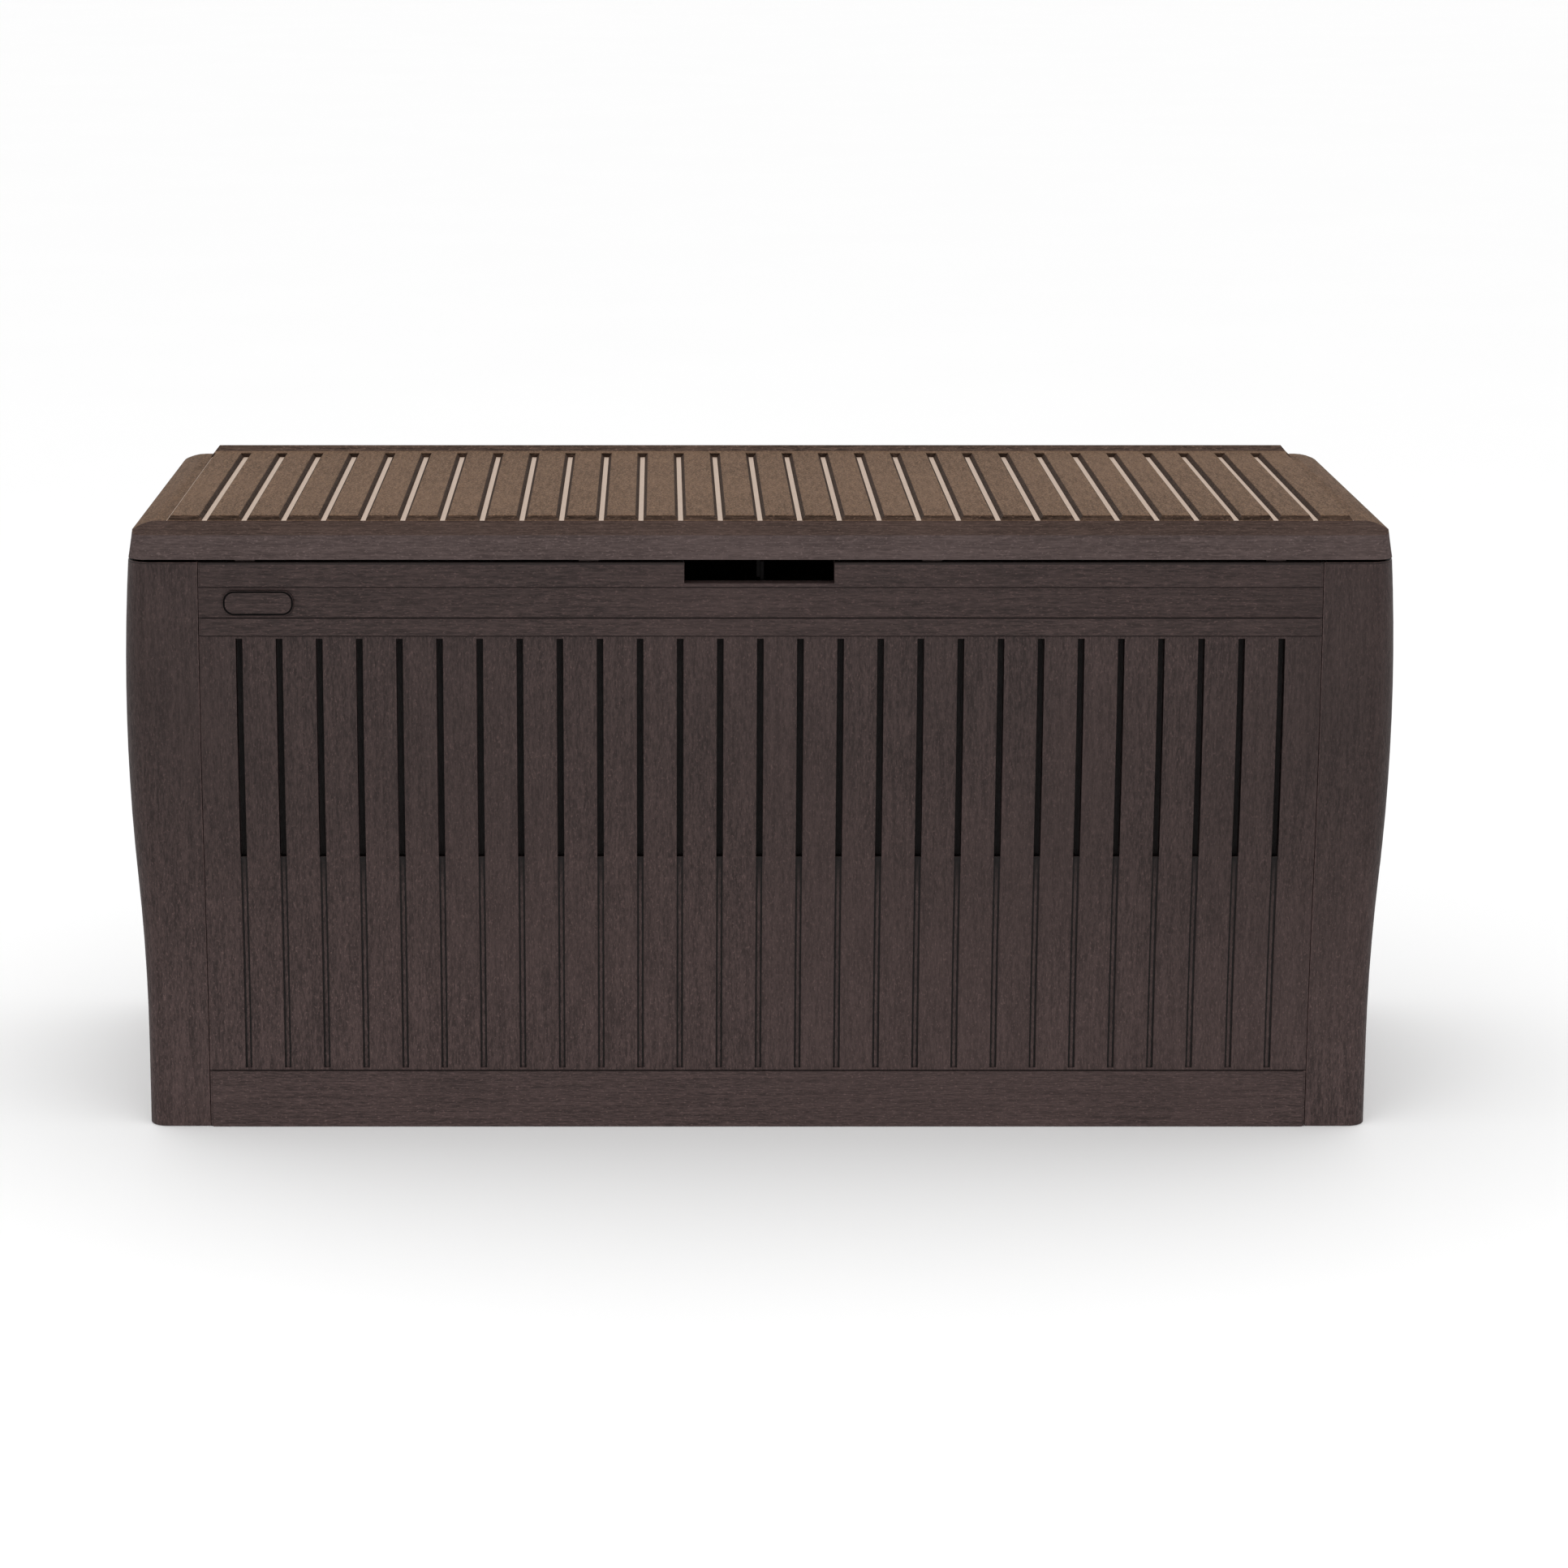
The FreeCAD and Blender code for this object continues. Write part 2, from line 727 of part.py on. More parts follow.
def swelling_block(name, shrink, near):
    """Block whose end, front and back faces all follow the wall line; corners rounded in plan."""
    body = doc.addObject("PartDesign::Body", name)
    side = d.belly_half_width - shrink
    depth = d.belly_half_depth - shrink
    turn = d.corner_radius - shrink
    end_loop = wall_to_plane(side, d.foot_inset, ZERO, d.wall_top, 1, near)
    sketch = sketch_on(body, name + "_end_section", "XZ_Plane", [end_loop])
    sweep(body, "Pad", name + "_end_block", sketch, 2 * (depth - turn))
    for row, face in ((-1, "front"), (1, "back")):
        long_loop = wall_to_plane(depth, d.foot_inset, ZERO, d.wall_top, row, ZERO)
        sketch = sketch_on(body, name + "_" + face + "_section", "YZ_Plane", [long_loop], near)
        sweep(body, "Pad", name + "_" + face + "_block", sketch, side - turn - near, False)
        corner = wall_to_plane(turn, d.foot_inset, ZERO, d.wall_top, 1, ZERO)
        sketch = sketch_on(body, name + "_" + face + "_corner_section", "XZ_Plane", [corner],
                           -row * (depth - turn), side - turn)
        rounded = body.newObject("PartDesign::Revolution", name + "_" + face + "_corner")
        rounded.Profile = sketch
        rounded.ReferenceAxis = (sketch, ["V_Axis"])
        rounded.Angle = 360
        doc.recompute()
    return body


def end_grooves():
    """Upright grooves of the end face, as one cutting tool."""
    body = doc.addObject("PartDesign::Body", "end_groove_tool")
    side = d.belly_half_width
    points, arcs = wall_to_plane(side - d.end_groove_deep, d.foot_inset, d.groove_bottom, d.groove_top, 1,
                                 side + d.overcut)
    first = (d.end_groove_count - 1) * d.slat_pitch / 2
    sketch = sketch_on(body, "end_groove_section", "XZ_Plane", [(points, arcs)], first)
    groove = sweep(body, "Pad", "end_groove", sketch, d.groove_wide)
    repeat(body, "end_grooves", groove, "Y_Axis", d.slat_pitch, d.end_groove_count)
    return body


def end_shell():
    """Hollow end wall, open towards the middle of the box, at the top and at the ground."""
    seam = d.panel_half_width + d.seam_gap
    shell = swelling_block("end_shell", ZERO, seam)
    hollow = swelling_block("end_hollow", d.end_wall, seam + d.return_thick)
    mouth = box("end_mouth", (seam - d.bite, seam + d.overcut), (-d.return_reach, d.return_reach),
                (-d.bite, d.wall_top + d.bite))
    under = box("end_under", (seam - d.bite, seam + d.overcut), (-d.return_foot_reach, d.return_foot_reach),
                (-d.bite, d.return_bottom))
    return cut("end_wall_shell", shell, fuse("end_hollow_all", [hollow, mouth, under]))


def right_end_panel():
    grooved = cut("end_grooved", end_shell(), end_grooves())
    ledge = box("end_ledge", (d.end_ledge_reach, d.end_ledge_outer), (-d.return_reach, d.return_reach),
                (d.ledge_low, d.wall_top))
    sill = box("end_sill", (d.end_sill_reach, d.end_sill_outer), (-d.end_sill_depth, d.end_sill_depth),
               (d.sill_low, d.sill_high))
    half = d.hold_half_width + d.hold_wall
    hold_back = d.belly_half_width - d.hold_deep
    boss = box("hold_boss", (hold_back - d.hold_wall, d.hold_rim_x), (-half, half),
               (d.hold_low - d.hold_wall, d.hold_high + d.hold_wall))
    whole = fuse("end_whole", [grooved, ledge, sill, boss])
    hold = box("hand_hold", (hold_back, d.belly_half_width + d.overcut),
               (-d.hold_half_width, d.hold_half_width), (d.hold_low, d.hold_high))
    return keep(cut("right_end_cut", whole, hold), "right_end_panel")


# ---------------------------------------------------------------- floor

def base_panel():
    """Floor plate on the sills, stiffened underneath, standing on six round feet."""
    pieces = [box("floor_plate", (-d.floor_half_width, d.floor_half_width), (-d.floor_front, d.floor_back),
                  (d.sill_high, d.sill_high + d.floor_thick))]
    rib_y = d.front_sill_reach - d.floor_rib_clear
    rib_x = d.end_sill_reach - d.floor_rib_clear
    half = d.floor_rib_thick / 2
    tall = (d.floor_rib_low, d.sill_high + d.bite)
    for centre in centred(d.floor_cross_count, d.floor_cross_pitch):
        pieces.append(box("floor_cross_rib", (centre - half, centre + half), (-rib_y, rib_y), tall))
    for centre in centred(d.floor_long_count, d.floor_long_pitch):
        pieces.append(box("floor_long_rib", (-rib_x, rib_x), (centre - half, centre + half), tall))
    for x in centred(d.foot_columns, d.foot_spacing):
        for y in (-d.foot_row, d.foot_row):
            pieces.append(post("floor_foot", x, y, (ZERO, d.sill_high + d.bite), d.foot_radius))
    return keep(fuse("base_panel_whole", pieces), "base_panel")


# ---------------------------------------------------------------- clips that hold the corners

def corner_clip(name, side, row, z):
    """Spring clip pushed over the paired returns of two neighbouring panels."""
    seam = side * d.panel_half_width
    grip = d.return_thick + d.seam_gap
    outer = grip + d.clip_thick
    edge = row * d.return_reach
    tip = row * (d.return_reach + d.clip_grip)
    crown = row * (d.return_reach - d.clip_thick)
    tall = (z, z + d.clip_tall)
    pieces = [box(name + "_leg", (seam - outer, seam - grip), (crown, tip), tall),
              box(name + "_leg", (seam + grip, seam + outer), (crown, tip), tall),
              box(name + "_crown", (seam - outer, seam + outer), (crown, edge), tall)]
    return fuse(name, pieces)


def corner_clips():
    clips = []
    for side in (-1, 1):
        for row in (-1, 1):
            for level in range(int(d.clip_levels.value)):
                height = d.clip_first + level * d.clip_pitch
                clips.append(corner_clip("corner_clip", side, row, height))
    return keep(group("corner_clip_set", clips), "corner_clips")


# ---------------------------------------------------------------- hinges

def hinge_places():
    return [-d.hinge_outer_x, -d.hinge_inner_x, d.hinge_inner_x, d.hinge_outer_x]


def box_hinge_bracket(centre):
    """Leaf on the back wall with two knuckles either side of the lid's knuckle."""
    leaf_back = d.back_face + d.hinge_leaf_thick
    pieces = [box("box_leaf", (centre - d.hinge_leaf_half, centre + d.hinge_leaf_half),
                  (d.back_face, leaf_back), (d.hinge_leaf_low, d.hinge_leaf_high))]
    near = d.lid_knuckle_half + d.knuckle_gap
    for side in (-1, 1):
        span = (centre + side * near, centre + side * (near + d.box_knuckle_wide))
        pieces.append(box("box_knuckle_web", span, (d.back_face, d.hinge_y),
                          (d.hinge_z - 2 * d.knuckle_radius, d.hinge_z)))
        pieces.append(rod("box_knuckle", span, d.hinge_y, d.hinge_z, d.knuckle_radius))
    solid = fuse("box_hinge_solid", pieces)
    bore = rod("box_knuckle_bore", (centre - d.hinge_leaf_half, centre + d.hinge_leaf_half),
               d.hinge_y, d.hinge_z, d.hinge_pin_radius)
    return cut("box_hinge_bracket", solid, bore)


def lid_hinge_bracket(centre):
    """Leaf inside the lid's rear skirt with the middle knuckle hanging below it."""
    skin = d.lid_hollow_y
    front = skin - d.hinge_leaf_thick
    half = d.lid_knuckle_half
    pieces = [box("lid_leaf", (centre - d.hinge_leaf_half, centre + d.hinge_leaf_half),
                  (front, skin), (d.lid_leaf_low, d.lid_leaf_high)),
              box("lid_knuckle_arm", (centre - half, centre + half), (front, skin),
                  (d.hinge_z, d.lid_leaf_low + d.bite)),
              box("lid_knuckle_web", (centre - half, centre + half), (front, d.hinge_y),
                  (d.hinge_z, d.hinge_z + d.knuckle_radius)),
              rod("lid_knuckle", (centre - half, centre + half), d.hinge_y, d.hinge_z, d.knuckle_radius)]
    solid = fuse("lid_hinge_solid", pieces)
    bore = rod("lid_knuckle_bore", (centre - 2 * half, centre + 2 * half), d.hinge_y, d.hinge_z,
               d.hinge_pin_radius + d.hinge_play)
    return cut("lid_hinge_bracket", solid, bore)


def hinges():
    places = hinge_places()
    keep(group("box_hinge_set", [box_hinge_bracket(x) for x in places]), "box_hinge_brackets")
    keep(group("lid_hinge_set", [lid_hinge_bracket(x) for x in places]), "lid_hinge_brackets")
    half = d.lid_knuckle_half + d.knuckle_gap + d.box_knuckle_wide
    pins = [rod("hinge_pin", (x - half, x + half), d.hinge_y, d.hinge_z, d.hinge_pin_radius) for x in places]
    keep(group("hinge_pin_set", pins), "hinge_pins")


# ---------------------------------------------------------------- lid

def lid_outline(inset):
    """Outline of the lid in plan, drawn this far inside its bottom edge; round in front, tighter behind."""
    wide = d.lid_half_width - inset
    deep = d.lid_half_depth - inset
    front = d.lid_corner_radius - inset
    rear = d.lid_rear_radius - inset / 2
    points = [(front - wide, -deep), (wide - front, -deep), (wide, front - deep), (wide, deep - rear),
              (wide - rear, deep), (rear - wide, deep), (-wide, deep - rear), (-wide, front - deep)]
    return points, {1: (front, 1), 3: (rear, 1), 5: (rear, 1), 7: (front, 1)}


def lid_panel():
    body = doc.addObject("PartDesign::Body", "lid_panel_body")
    lid_block(body)
    lid_rail(body)
    lid_slats(body)
    lid_hollow(body)
    lid_lugs(body)
    return keep(body, "lid_panel")


def drafted_pad(body, name, sketch, low, high, run):
    pad = sweep(body, "Pad", name, sketch, high - low, False)
    bind(pad, "TaperAngle", -(run / (high - low)).arc_tangent())
    doc.recompute()


def lid_block(body):
    """Drafted fascia, upper part set in a little, front slope up to the slats, rounded ends."""
    sketch = sketch_on(body, "lid_lower_outline", "XY_Plane", [lid_outline(ZERO)], d.lid_bottom)
    drafted_pad(body, "lid_fascia", sketch, d.lid_bottom, d.lid_crease, d.lid_draft_run)
    sketch = sketch_on(body, "lid_upper_outline", "XY_Plane", [lid_outline(d.lid_draft_run)], d.lid_crease)
    drafted_pad(body, "lid_upper", sketch, d.lid_crease, d.lid_floor, d.lid_upper_run)
    field = [(-d.field_floor, d.lid_floor), (d.field_floor, d.lid_floor),
             (d.field_top, d.slat_top), (-d.field_top, d.slat_top)]
    sketch = sketch_on(body, "slat_field_section", "XZ_Plane", [(field, {})], -d.rail_back)
    sweep(body, "Pad", "slat_field", sketch, d.rail_back + d.lid_slope_back, False)
    far = d.lid_half_depth + d.overcut
    slope = [(-far, d.lid_crease), (-(d.lid_half_depth - d.lid_draft_run), d.lid_crease),
             (-d.lid_slope_back, d.lid_floor), (-(d.lid_slope_back - d.slat_bevel_run), d.slat_top),
             (-(d.lid_slope_back - d.slat_bevel_run), d.slat_top + d.overcut), (-far, d.slat_top + d.overcut)]
    sketch = sketch_on(body, "front_slope_section", "YZ_Plane", [(slope, {})])
    sweep(body, "Pocket", "front_slope", sketch, d.through)
    loops = [lid_end_corner(side) for side in (-1, 1)]
    sketch = sketch_on(body, "lid_end_section", "XZ_Plane", loops)
    sweep(body, "Pocket", "lid_end_rounding", sketch, d.through)


def lid_end_corner(side):
    """Area above the top of the lid at one end, which rolls down level at first, then ever steeper."""
    face = d.lid_half_width - d.lid_draft_run
    run = face - d.lid_end_crest
    drop = d.lid_floor - d.lid_end_low
    radius = (run * run + drop * drop) / (2 * drop)
    far = d.lid_half_width + d.overcut
    points = [(side * d.lid_end_crest, d.lid_floor), (side * face, d.lid_end_low),
              (side * far, d.lid_end_low), (side * far, d.slat_top), (side * d.lid_end_crest, d.slat_top)]
    return points, {0: (radius, -side)}


def lid_rail(body):
    """Raised rail along the rear, its ends and its front face sloping."""
    half_top = d.rail_half_top
    half_foot = d.rail_half_foot
    ends = [(-half_foot, d.lid_floor), (half_foot, d.lid_floor),
            (half_top, d.rail_top), (-half_top, d.rail_top)]
    sketch = sketch_on(body, "rail_outline", "XZ_Plane", [(ends, {})], -d.rail_back)
    sweep(body, "Pad", "rear_rail", sketch, d.rail_back - d.lid_gap_back, False)
    near = d.lid_gap_back - d.bite
    front = [(near, d.slat_top), (d.rail_foot_front, d.slat_top), (d.rail_crest_front, d.rail_top),
             (d.rail_crest_front, d.rail_top + d.overcut), (near, d.rail_top + d.overcut)]
    sketch = sketch_on(body, "rail_front_section", "YZ_Plane", [(front, {})])
    sweep(body, "Pocket", "rail_front", sketch, d.through)


def lid_slats(body):
    """Gaps between the slats, flaring upward from a narrow floor."""
    first = (d.lid_gap_count - 1) * d.lid_slat_pitch / 2
    mouth = d.lid_gap_mouth / 2
    floor = d.lid_gap_floor / 2
    rise = d.rail_top - d.lid_floor
    flare = (mouth - floor) * rise / (d.slat_top - d.lid_floor)
    gap = [(-first - floor, d.lid_floor), (-first + floor, d.lid_floor),
           (-first + floor + flare, d.rail_top), (-first - floor - flare, d.rail_top)]
    sketch = sketch_on(body, "gap_section", "XZ_Plane", [(gap, {})], -d.lid_gap_back)
    strip = sweep(body, "Pocket", "slat_gap", sketch, d.lid_gap_front + d.lid_gap_back, False, True)
    repeat(body, "slat_gaps", strip, "X_Axis", d.lid_slat_pitch, d.lid_gap_count)


def lid_hollow(body):
    """Hollow underside: thick along the front and at the ends, a thin roof between, hollow slats."""
    skirt = rectangle((-d.lid_hollow_y, d.lid_hollow_y), (d.lid_bottom - d.bite, d.lid_beam_under))
    sketch = sketch_on(body, "underside_section", "YZ_Plane", [skirt])
    sweep(body, "Pocket", "lid_underside", sketch, 2 * d.lid_hollow_x)
    roof = rectangle((-d.lid_beam_back, d.lid_hollow_y), (d.lid_beam_under - d.bite, d.lid_roof_under))
    sketch = sketch_on(body, "roof_section", "YZ_Plane", [roof])
    sweep(body, "Pocket", "roof_underside", sketch, 2 * d.lid_roof_half)
    first = (d.lid_slat_count - 1) * d.lid_slat_pitch / 2
    half = d.slat_hollow_wide / 2
    channel = rectangle((-first - half, -first + half), (-d.slat_hollow_front, d.slat_hollow_back))
    sketch = sketch_on(body, "slat_hollow_outline", "XY_Plane", [channel], d.lid_roof_under)
    depth = d.slat_top - d.slat_crown - d.lid_roof_under
    hollow = sweep(body, "Pocket", "slat_hollow", sketch, depth, False, True)
    repeat(body, "slat_hollows", hollow, "X_Axis", d.lid_slat_pitch, d.lid_slat_count)


def lid_lugs(body):
    """Lugs on which the closed lid rests on the front ledge."""
    low = d.wall_top + d.lug_clear
    section = rectangle((-(d.lid_hollow_y + d.bite), -d.lug_back), (low, d.lid_beam_under + d.bite))
    sketch = sketch_on(body, "lug_section", "YZ_Plane", [section], -d.lug_x)
    lug = sweep(body, "Pad", "rest_lug", sketch, 2 * d.lug_half)
    repeat(body, "rest_lugs", lug, "X_Axis", 2 * d.lug_x / (d.lug_count - 1), d.lug_count)


# ---------------------------------------------------------------- under the lid

def lid_frame():
    """Ring with cross ribs that stiffens the roof; notched for the two tubes."""
    body = doc.addObject("PartDesign::Body", "lid_frame_body")
    outer = rectangle((-d.frame_half_width, d.frame_half_width), (-d.frame_front, d.frame_back))
    inner = rectangle((d.frame_member - d.frame_half_width, d.frame_half_width - d.frame_member),
                      (d.frame_member - d.frame_front, d.frame_back - d.frame_member))
    height = d.lid_roof_under - d.frame_low
    sketch = sketch_on(body, "frame_outline", "XY_Plane", [outer, inner], d.frame_low)
    sweep(body, "Pad", "frame_ring", sketch, height, False)
    first = (d.frame_rib_count - 1) * d.frame_rib_pitch / 2
    rib = rectangle((-first - d.frame_rib_half, -first + d.frame_rib_half),
                    (d.bite - d.frame_front, d.frame_back - d.bite))
    sketch = sketch_on(body, "frame_rib_outline", "XY_Plane", [rib], d.frame_low)
    cross = sweep(body, "Pad", "frame_rib", sketch, height, False)
    repeat(body, "frame_ribs", cross, "X_Axis", d.frame_rib_pitch, d.frame_rib_count)
    half = d.tube_notch_half
    notches = [rectangle((y - half, y + half), (d.frame_low - d.bite, d.tube_notch_high))
               for y in (-d.tube_front_y, d.tube_back_y)]
    sketch = sketch_on(body, "tube_notch_section", "YZ_Plane", notches)
    sweep(body, "Pocket", "tube_notches", sketch, 2 * (d.frame_half_width - d.frame_member + d.bite))
    return keep(body, "lid_frame")


def stiffener(label, y):
    span = (-d.tube_half_length, d.tube_half_length)
    outer = rod(label + "_outer", span, y, d.tube_z, d.tube_radius)
    bore = rod(label + "_bore", span, y, d.tube_z, d.tube_bore)
    return keep(cut(label + "_tube", outer, bore), label)


def tube_saddle(x, y):
    """Strap under a cross rib that carries a tube."""
    reach = d.tube_radius + d.saddle_wall
    span = (x - d.saddle_half, x + d.saddle_half)
    pieces = [box("saddle_floor", span, (y - reach, y + reach), (d.saddle_low, d.saddle_low + d.saddle_wall))]
    for side in (-1, 1):
        pieces.append(box("saddle_leg", span, (y + side * (d.tube_radius + d.saddle_play), y + side * reach),
                          (d.saddle_low, d.frame_low)))
    return fuse("tube_saddle", pieces)


def tube_plug(side, y):
    end = side * d.tube_half_length
    stem = rod("plug_stem", (end, end - side * d.plug_long), y, d.tube_z, d.tube_bore)
    head = rod("plug_head", (end, end + side * d.plug_head), y, d.tube_z, d.tube_radius)
    return fuse("tube_plug", [stem, head])


def stiffeners():
    rows = (-d.tube_front_y, d.tube_back_y)
    for label, y in zip(("front_lid_tube", "rear_lid_tube"), rows):
        stiffener(label, y)
    ribs = [x for x in centred(d.frame_rib_count, d.frame_rib_pitch) if x.value]
    saddles = [tube_saddle(x, y) for y in rows for x in ribs]
    keep(group("saddle_set", saddles), "tube_saddles")
    plugs = [tube_plug(side, y) for y in rows for side in (-1, 1)]
    keep(group("plug_set", plugs), "tube_end_plugs")


# ---------------------------------------------------------------- padlock eyes

def lock_tab(label, side, foot, tab_z):
    """Flat eye standing edge-on behind the finger notch, with a foot plate."""
    near = side * d.tab_gap
    far = side * (d.tab_gap + d.tab_thick)
    blade = box(label + "_blade", (near, far), (-d.tab_front, -d.tab_back), tab_z)
    solid = fuse(label + "_solid", [foot, blade])
    eye = rod(label + "_eye", (-d.tab_foot_half, d.tab_foot_half), -d.eye_y, d.eye_z, d.eye_radius)
    return keep(cut(label + "_cut", solid, eye), label)


def lock_tabs():
    half = d.tab_foot_half
    back = d.tab_foot_front - d.tab_foot_thick
    box_foot = box("box_tab_foot", (-half, half), (-d.tab_foot_front, -back),
                   (d.tab_foot_low, d.tab_foot_high))
    lock_tab("box_lock_tab", 1, box_foot, (d.tab_foot_low, d.tab_top))
    lid_foot = box("lid_tab_foot", (-half, half),
                   (-(d.tab_front + d.tab_foot_edge), -(d.tab_back - d.tab_foot_edge)),
                   (d.lid_beam_under - d.tab_foot_thick, d.lid_beam_under))
    lock_tab("lid_lock_tab", -1, lid_foot, (d.tab_bottom, d.lid_beam_under - d.bite))


# ---------------------------------------------------------------- lid stays

def stay_pivot():
    return d.hinge_y - d.stay_pivot_back, d.hinge_z - d.stay_pivot_drop


def stud_centre():
    return d.hinge_y - d.stud_back, d.hinge_z - d.stud_drop


def round_ended(near, far, half):
    """Outline of a bar with half-round ends, each drawn as two quarter arcs."""
    points = [(near, -half), (far, -half), (far + half, ZERO), (far, half), (near, half), (near - half, ZERO)]
    return points, {number: (half, 1) for number in (1, 2, 4, 5)}


def right_stay():
    """Slotted arm: pivots on the lid's bracket and slides over the stud on the end wall."""
    body = doc.addObject("PartDesign::Body", "right_stay_body")
    arm = round_ended(ZERO, d.stay_end, d.stay_half)
    track = round_ended(d.stay_slot_near, d.stay_slot_far, d.stay_slot_half)
    sketch = sketch_on(body, "stay_outline", "YZ_Plane", [arm, track])
    hole = Part.Circle(FreeCAD.Vector(0, 0, 0), FreeCAD.Vector(0, 0, 1),
                       d.stay_pin_radius.value + d.stay_play.value)
    number = sketch.addGeometry(hole, False)
    sketch.addConstraint(Sketcher.Constraint("Coincident", number, 3, -1, 1))
    index = sketch.addConstraint(Sketcher.Constraint("Radius", number, hole.Radius))
    sketch.setExpression("Constraints[%d]" % index, (d.stay_pin_radius + d.stay_play).formula)
    sweep(body, "Pad", "stay_bar", sketch, d.stay_thick, False)
    y, z = stay_pivot()
    body.Placement = FreeCAD.Placement(FreeCAD.Vector(0, 0, 0), FreeCAD.Rotation(FreeCAD.Vector(-1, 0, 0), 1))
    bind(body, "Placement.Rotation.Angle", d.stay_angle)
    bind(body, "Placement.Base.x", d.stay_inner_x)
    bind(body, "Placement.Base.y", y)
    bind(body, "Placement.Base.z", z)
    doc.recompute()
    return keep(body, "right_lid_stay")


def right_stay_bracket():
    """Hangs from the lid frame and carries the upper pivot of the stay."""
    y, z = stay_pivot()
    top = d.frame_low
    foot = box("bracket_foot", (d.bracket_foot_x, d.bracket_outer_x),
               (y - d.bracket_foot_half, y + d.bracket_foot_half), (top - d.bracket_foot_thick, top))
    web = box("bracket_web", (d.bracket_inner_x, d.bracket_outer_x), (y - d.bracket_half, y + d.bracket_half),
              (d.bracket_low, top))
    solid = fuse("bracket_solid", [foot, web])
    bore = rod("bracket_bore", (d.bracket_inner_x - d.bite, d.bracket_outer_x + d.bite), y, z,
               d.stay_pin_radius)
    return keep(cut("bracket_cut", solid, bore), "right_stay_bracket")


def stay_rivet(side):
    y, z = stay_pivot()
    outer = d.stay_inner_x + d.stay_thick + d.knuckle_gap
    shank = rod("rivet_shank", (side * d.bracket_inner_x, side * outer), y, z, d.stay_pin_radius)
    head = rod("rivet_head", (side * outer, side * (outer + d.rivet_head_thick)), y, z, d.rivet_head)
    tail_end = d.bracket_inner_x - d.rivet_head_thick
    tail = rod("rivet_tail", (side * tail_end, side * d.bracket_inner_x), y, z, d.rivet_head)
    return fuse("stay_rivet", [shank, head, tail])


def stay_stud(side):
    y, z = stud_centre()
    flange = rod("stud_flange", (side * d.stud_flange_inner, side * d.stud_flange_outer), y, z,
                 d.stud_flange_radius)
    shoulder = rod("stud_shoulder", (side * d.stud_shoulder_inner, side * d.stud_flange_inner), y, z,
                   d.stud_shoulder_radius)
    shank = rod("stud_shank", (side * d.stud_tip, side * d.stud_shoulder_inner), y, z, d.stay_pin_radius)
    return fuse("stay_stud", [flange, shoulder, shank])


def stud_cap(side):
    """Blind push-on cap that keeps the arm on its stud."""
    y, z = stud_centre()
    disc = rod("cap_disc", (side * d.cap_inner, side * d.cap_outer), y, z, d.cap_radius)
    socket = rod("cap_socket", (side * d.stud_tip, side * (d.cap_outer + d.bite)), y, z, d.stay_pin_radius)
    return cut("stud_cap", disc, socket)


def stays():
    keep(mirrored("left_stay_twin", right_stay()), "left_lid_stay")
    keep(mirrored("left_bracket_twin", right_stay_bracket()), "left_stay_bracket")
    keep(group("rivet_set", [stay_rivet(side) for side in (-1, 1)]), "stay_rivets")
    keep(group("stud_set", [stay_stud(side) for side in (-1, 1)]), "stay_studs")
    keep(group("cap_set", [stud_cap(side) for side in (-1, 1)]), "stud_caps")


# ---------------------------------------------------------------- build, check and write

def check_document():
    doc.recompute()
    for thing in doc.Objects:
        if "Invalid" in thing.State or "Error" in thing.State:
            raise RuntimeError("%s is in state %s" % (thing.Name, thing.State))
    for node in nodes:
        if node.Shape.isNull() or not node.Shape.isValid() or not node.Shape.Solids:
            raise RuntimeError("%s has no valid solid" % node.Label)


def write_nodes():
    os.makedirs("parts", exist_ok=True)
    for node in nodes:
        node.Shape.exportStep("parts/%s.step" % node.Label)


fill_sheet()
front_panel()
blank_plate()
back_panel()
keep(mirrored("left_end_twin", right_end_panel()), "left_end_panel")
base_panel()
corner_clips()
hinges()
lid_panel()
lid_frame()
stiffeners()
lock_tabs()
stays()
check_document()
write_nodes()
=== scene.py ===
import math

import bmesh
import bpy
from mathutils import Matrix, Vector


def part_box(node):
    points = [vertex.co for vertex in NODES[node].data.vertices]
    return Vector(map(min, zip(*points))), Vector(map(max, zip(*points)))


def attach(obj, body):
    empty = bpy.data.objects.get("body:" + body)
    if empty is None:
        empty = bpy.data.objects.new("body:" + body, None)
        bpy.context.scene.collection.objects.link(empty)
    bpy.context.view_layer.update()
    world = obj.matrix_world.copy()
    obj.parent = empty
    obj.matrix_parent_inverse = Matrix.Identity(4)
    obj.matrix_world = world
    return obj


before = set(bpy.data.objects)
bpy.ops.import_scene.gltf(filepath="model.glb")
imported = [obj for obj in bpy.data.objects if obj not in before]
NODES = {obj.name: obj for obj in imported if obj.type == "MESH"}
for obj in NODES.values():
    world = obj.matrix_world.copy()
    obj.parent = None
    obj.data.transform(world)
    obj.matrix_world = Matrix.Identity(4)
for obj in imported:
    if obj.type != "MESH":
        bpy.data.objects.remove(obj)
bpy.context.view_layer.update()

# Deck storage box in a plain white studio. Metres, +X right, -Y front, +Z up, origin on the ground.

LID_LOW, LID_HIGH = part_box("lid_panel")
WALL_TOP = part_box("front_panel")[1].z
PLATE_LOW, PLATE_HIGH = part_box("blank_plate")

# Heights of the front panel's bands above the ground, and of the fine lines cut along their edges.
LOW_BAND_TOP = 0.0539
MIDDLE_BAND_FOOT = 0.4716
MIDDLE_BAND_TOP = 0.4872
TOP_BAND_FOOT = 0.5165
LINE_HEIGHT = 0.001

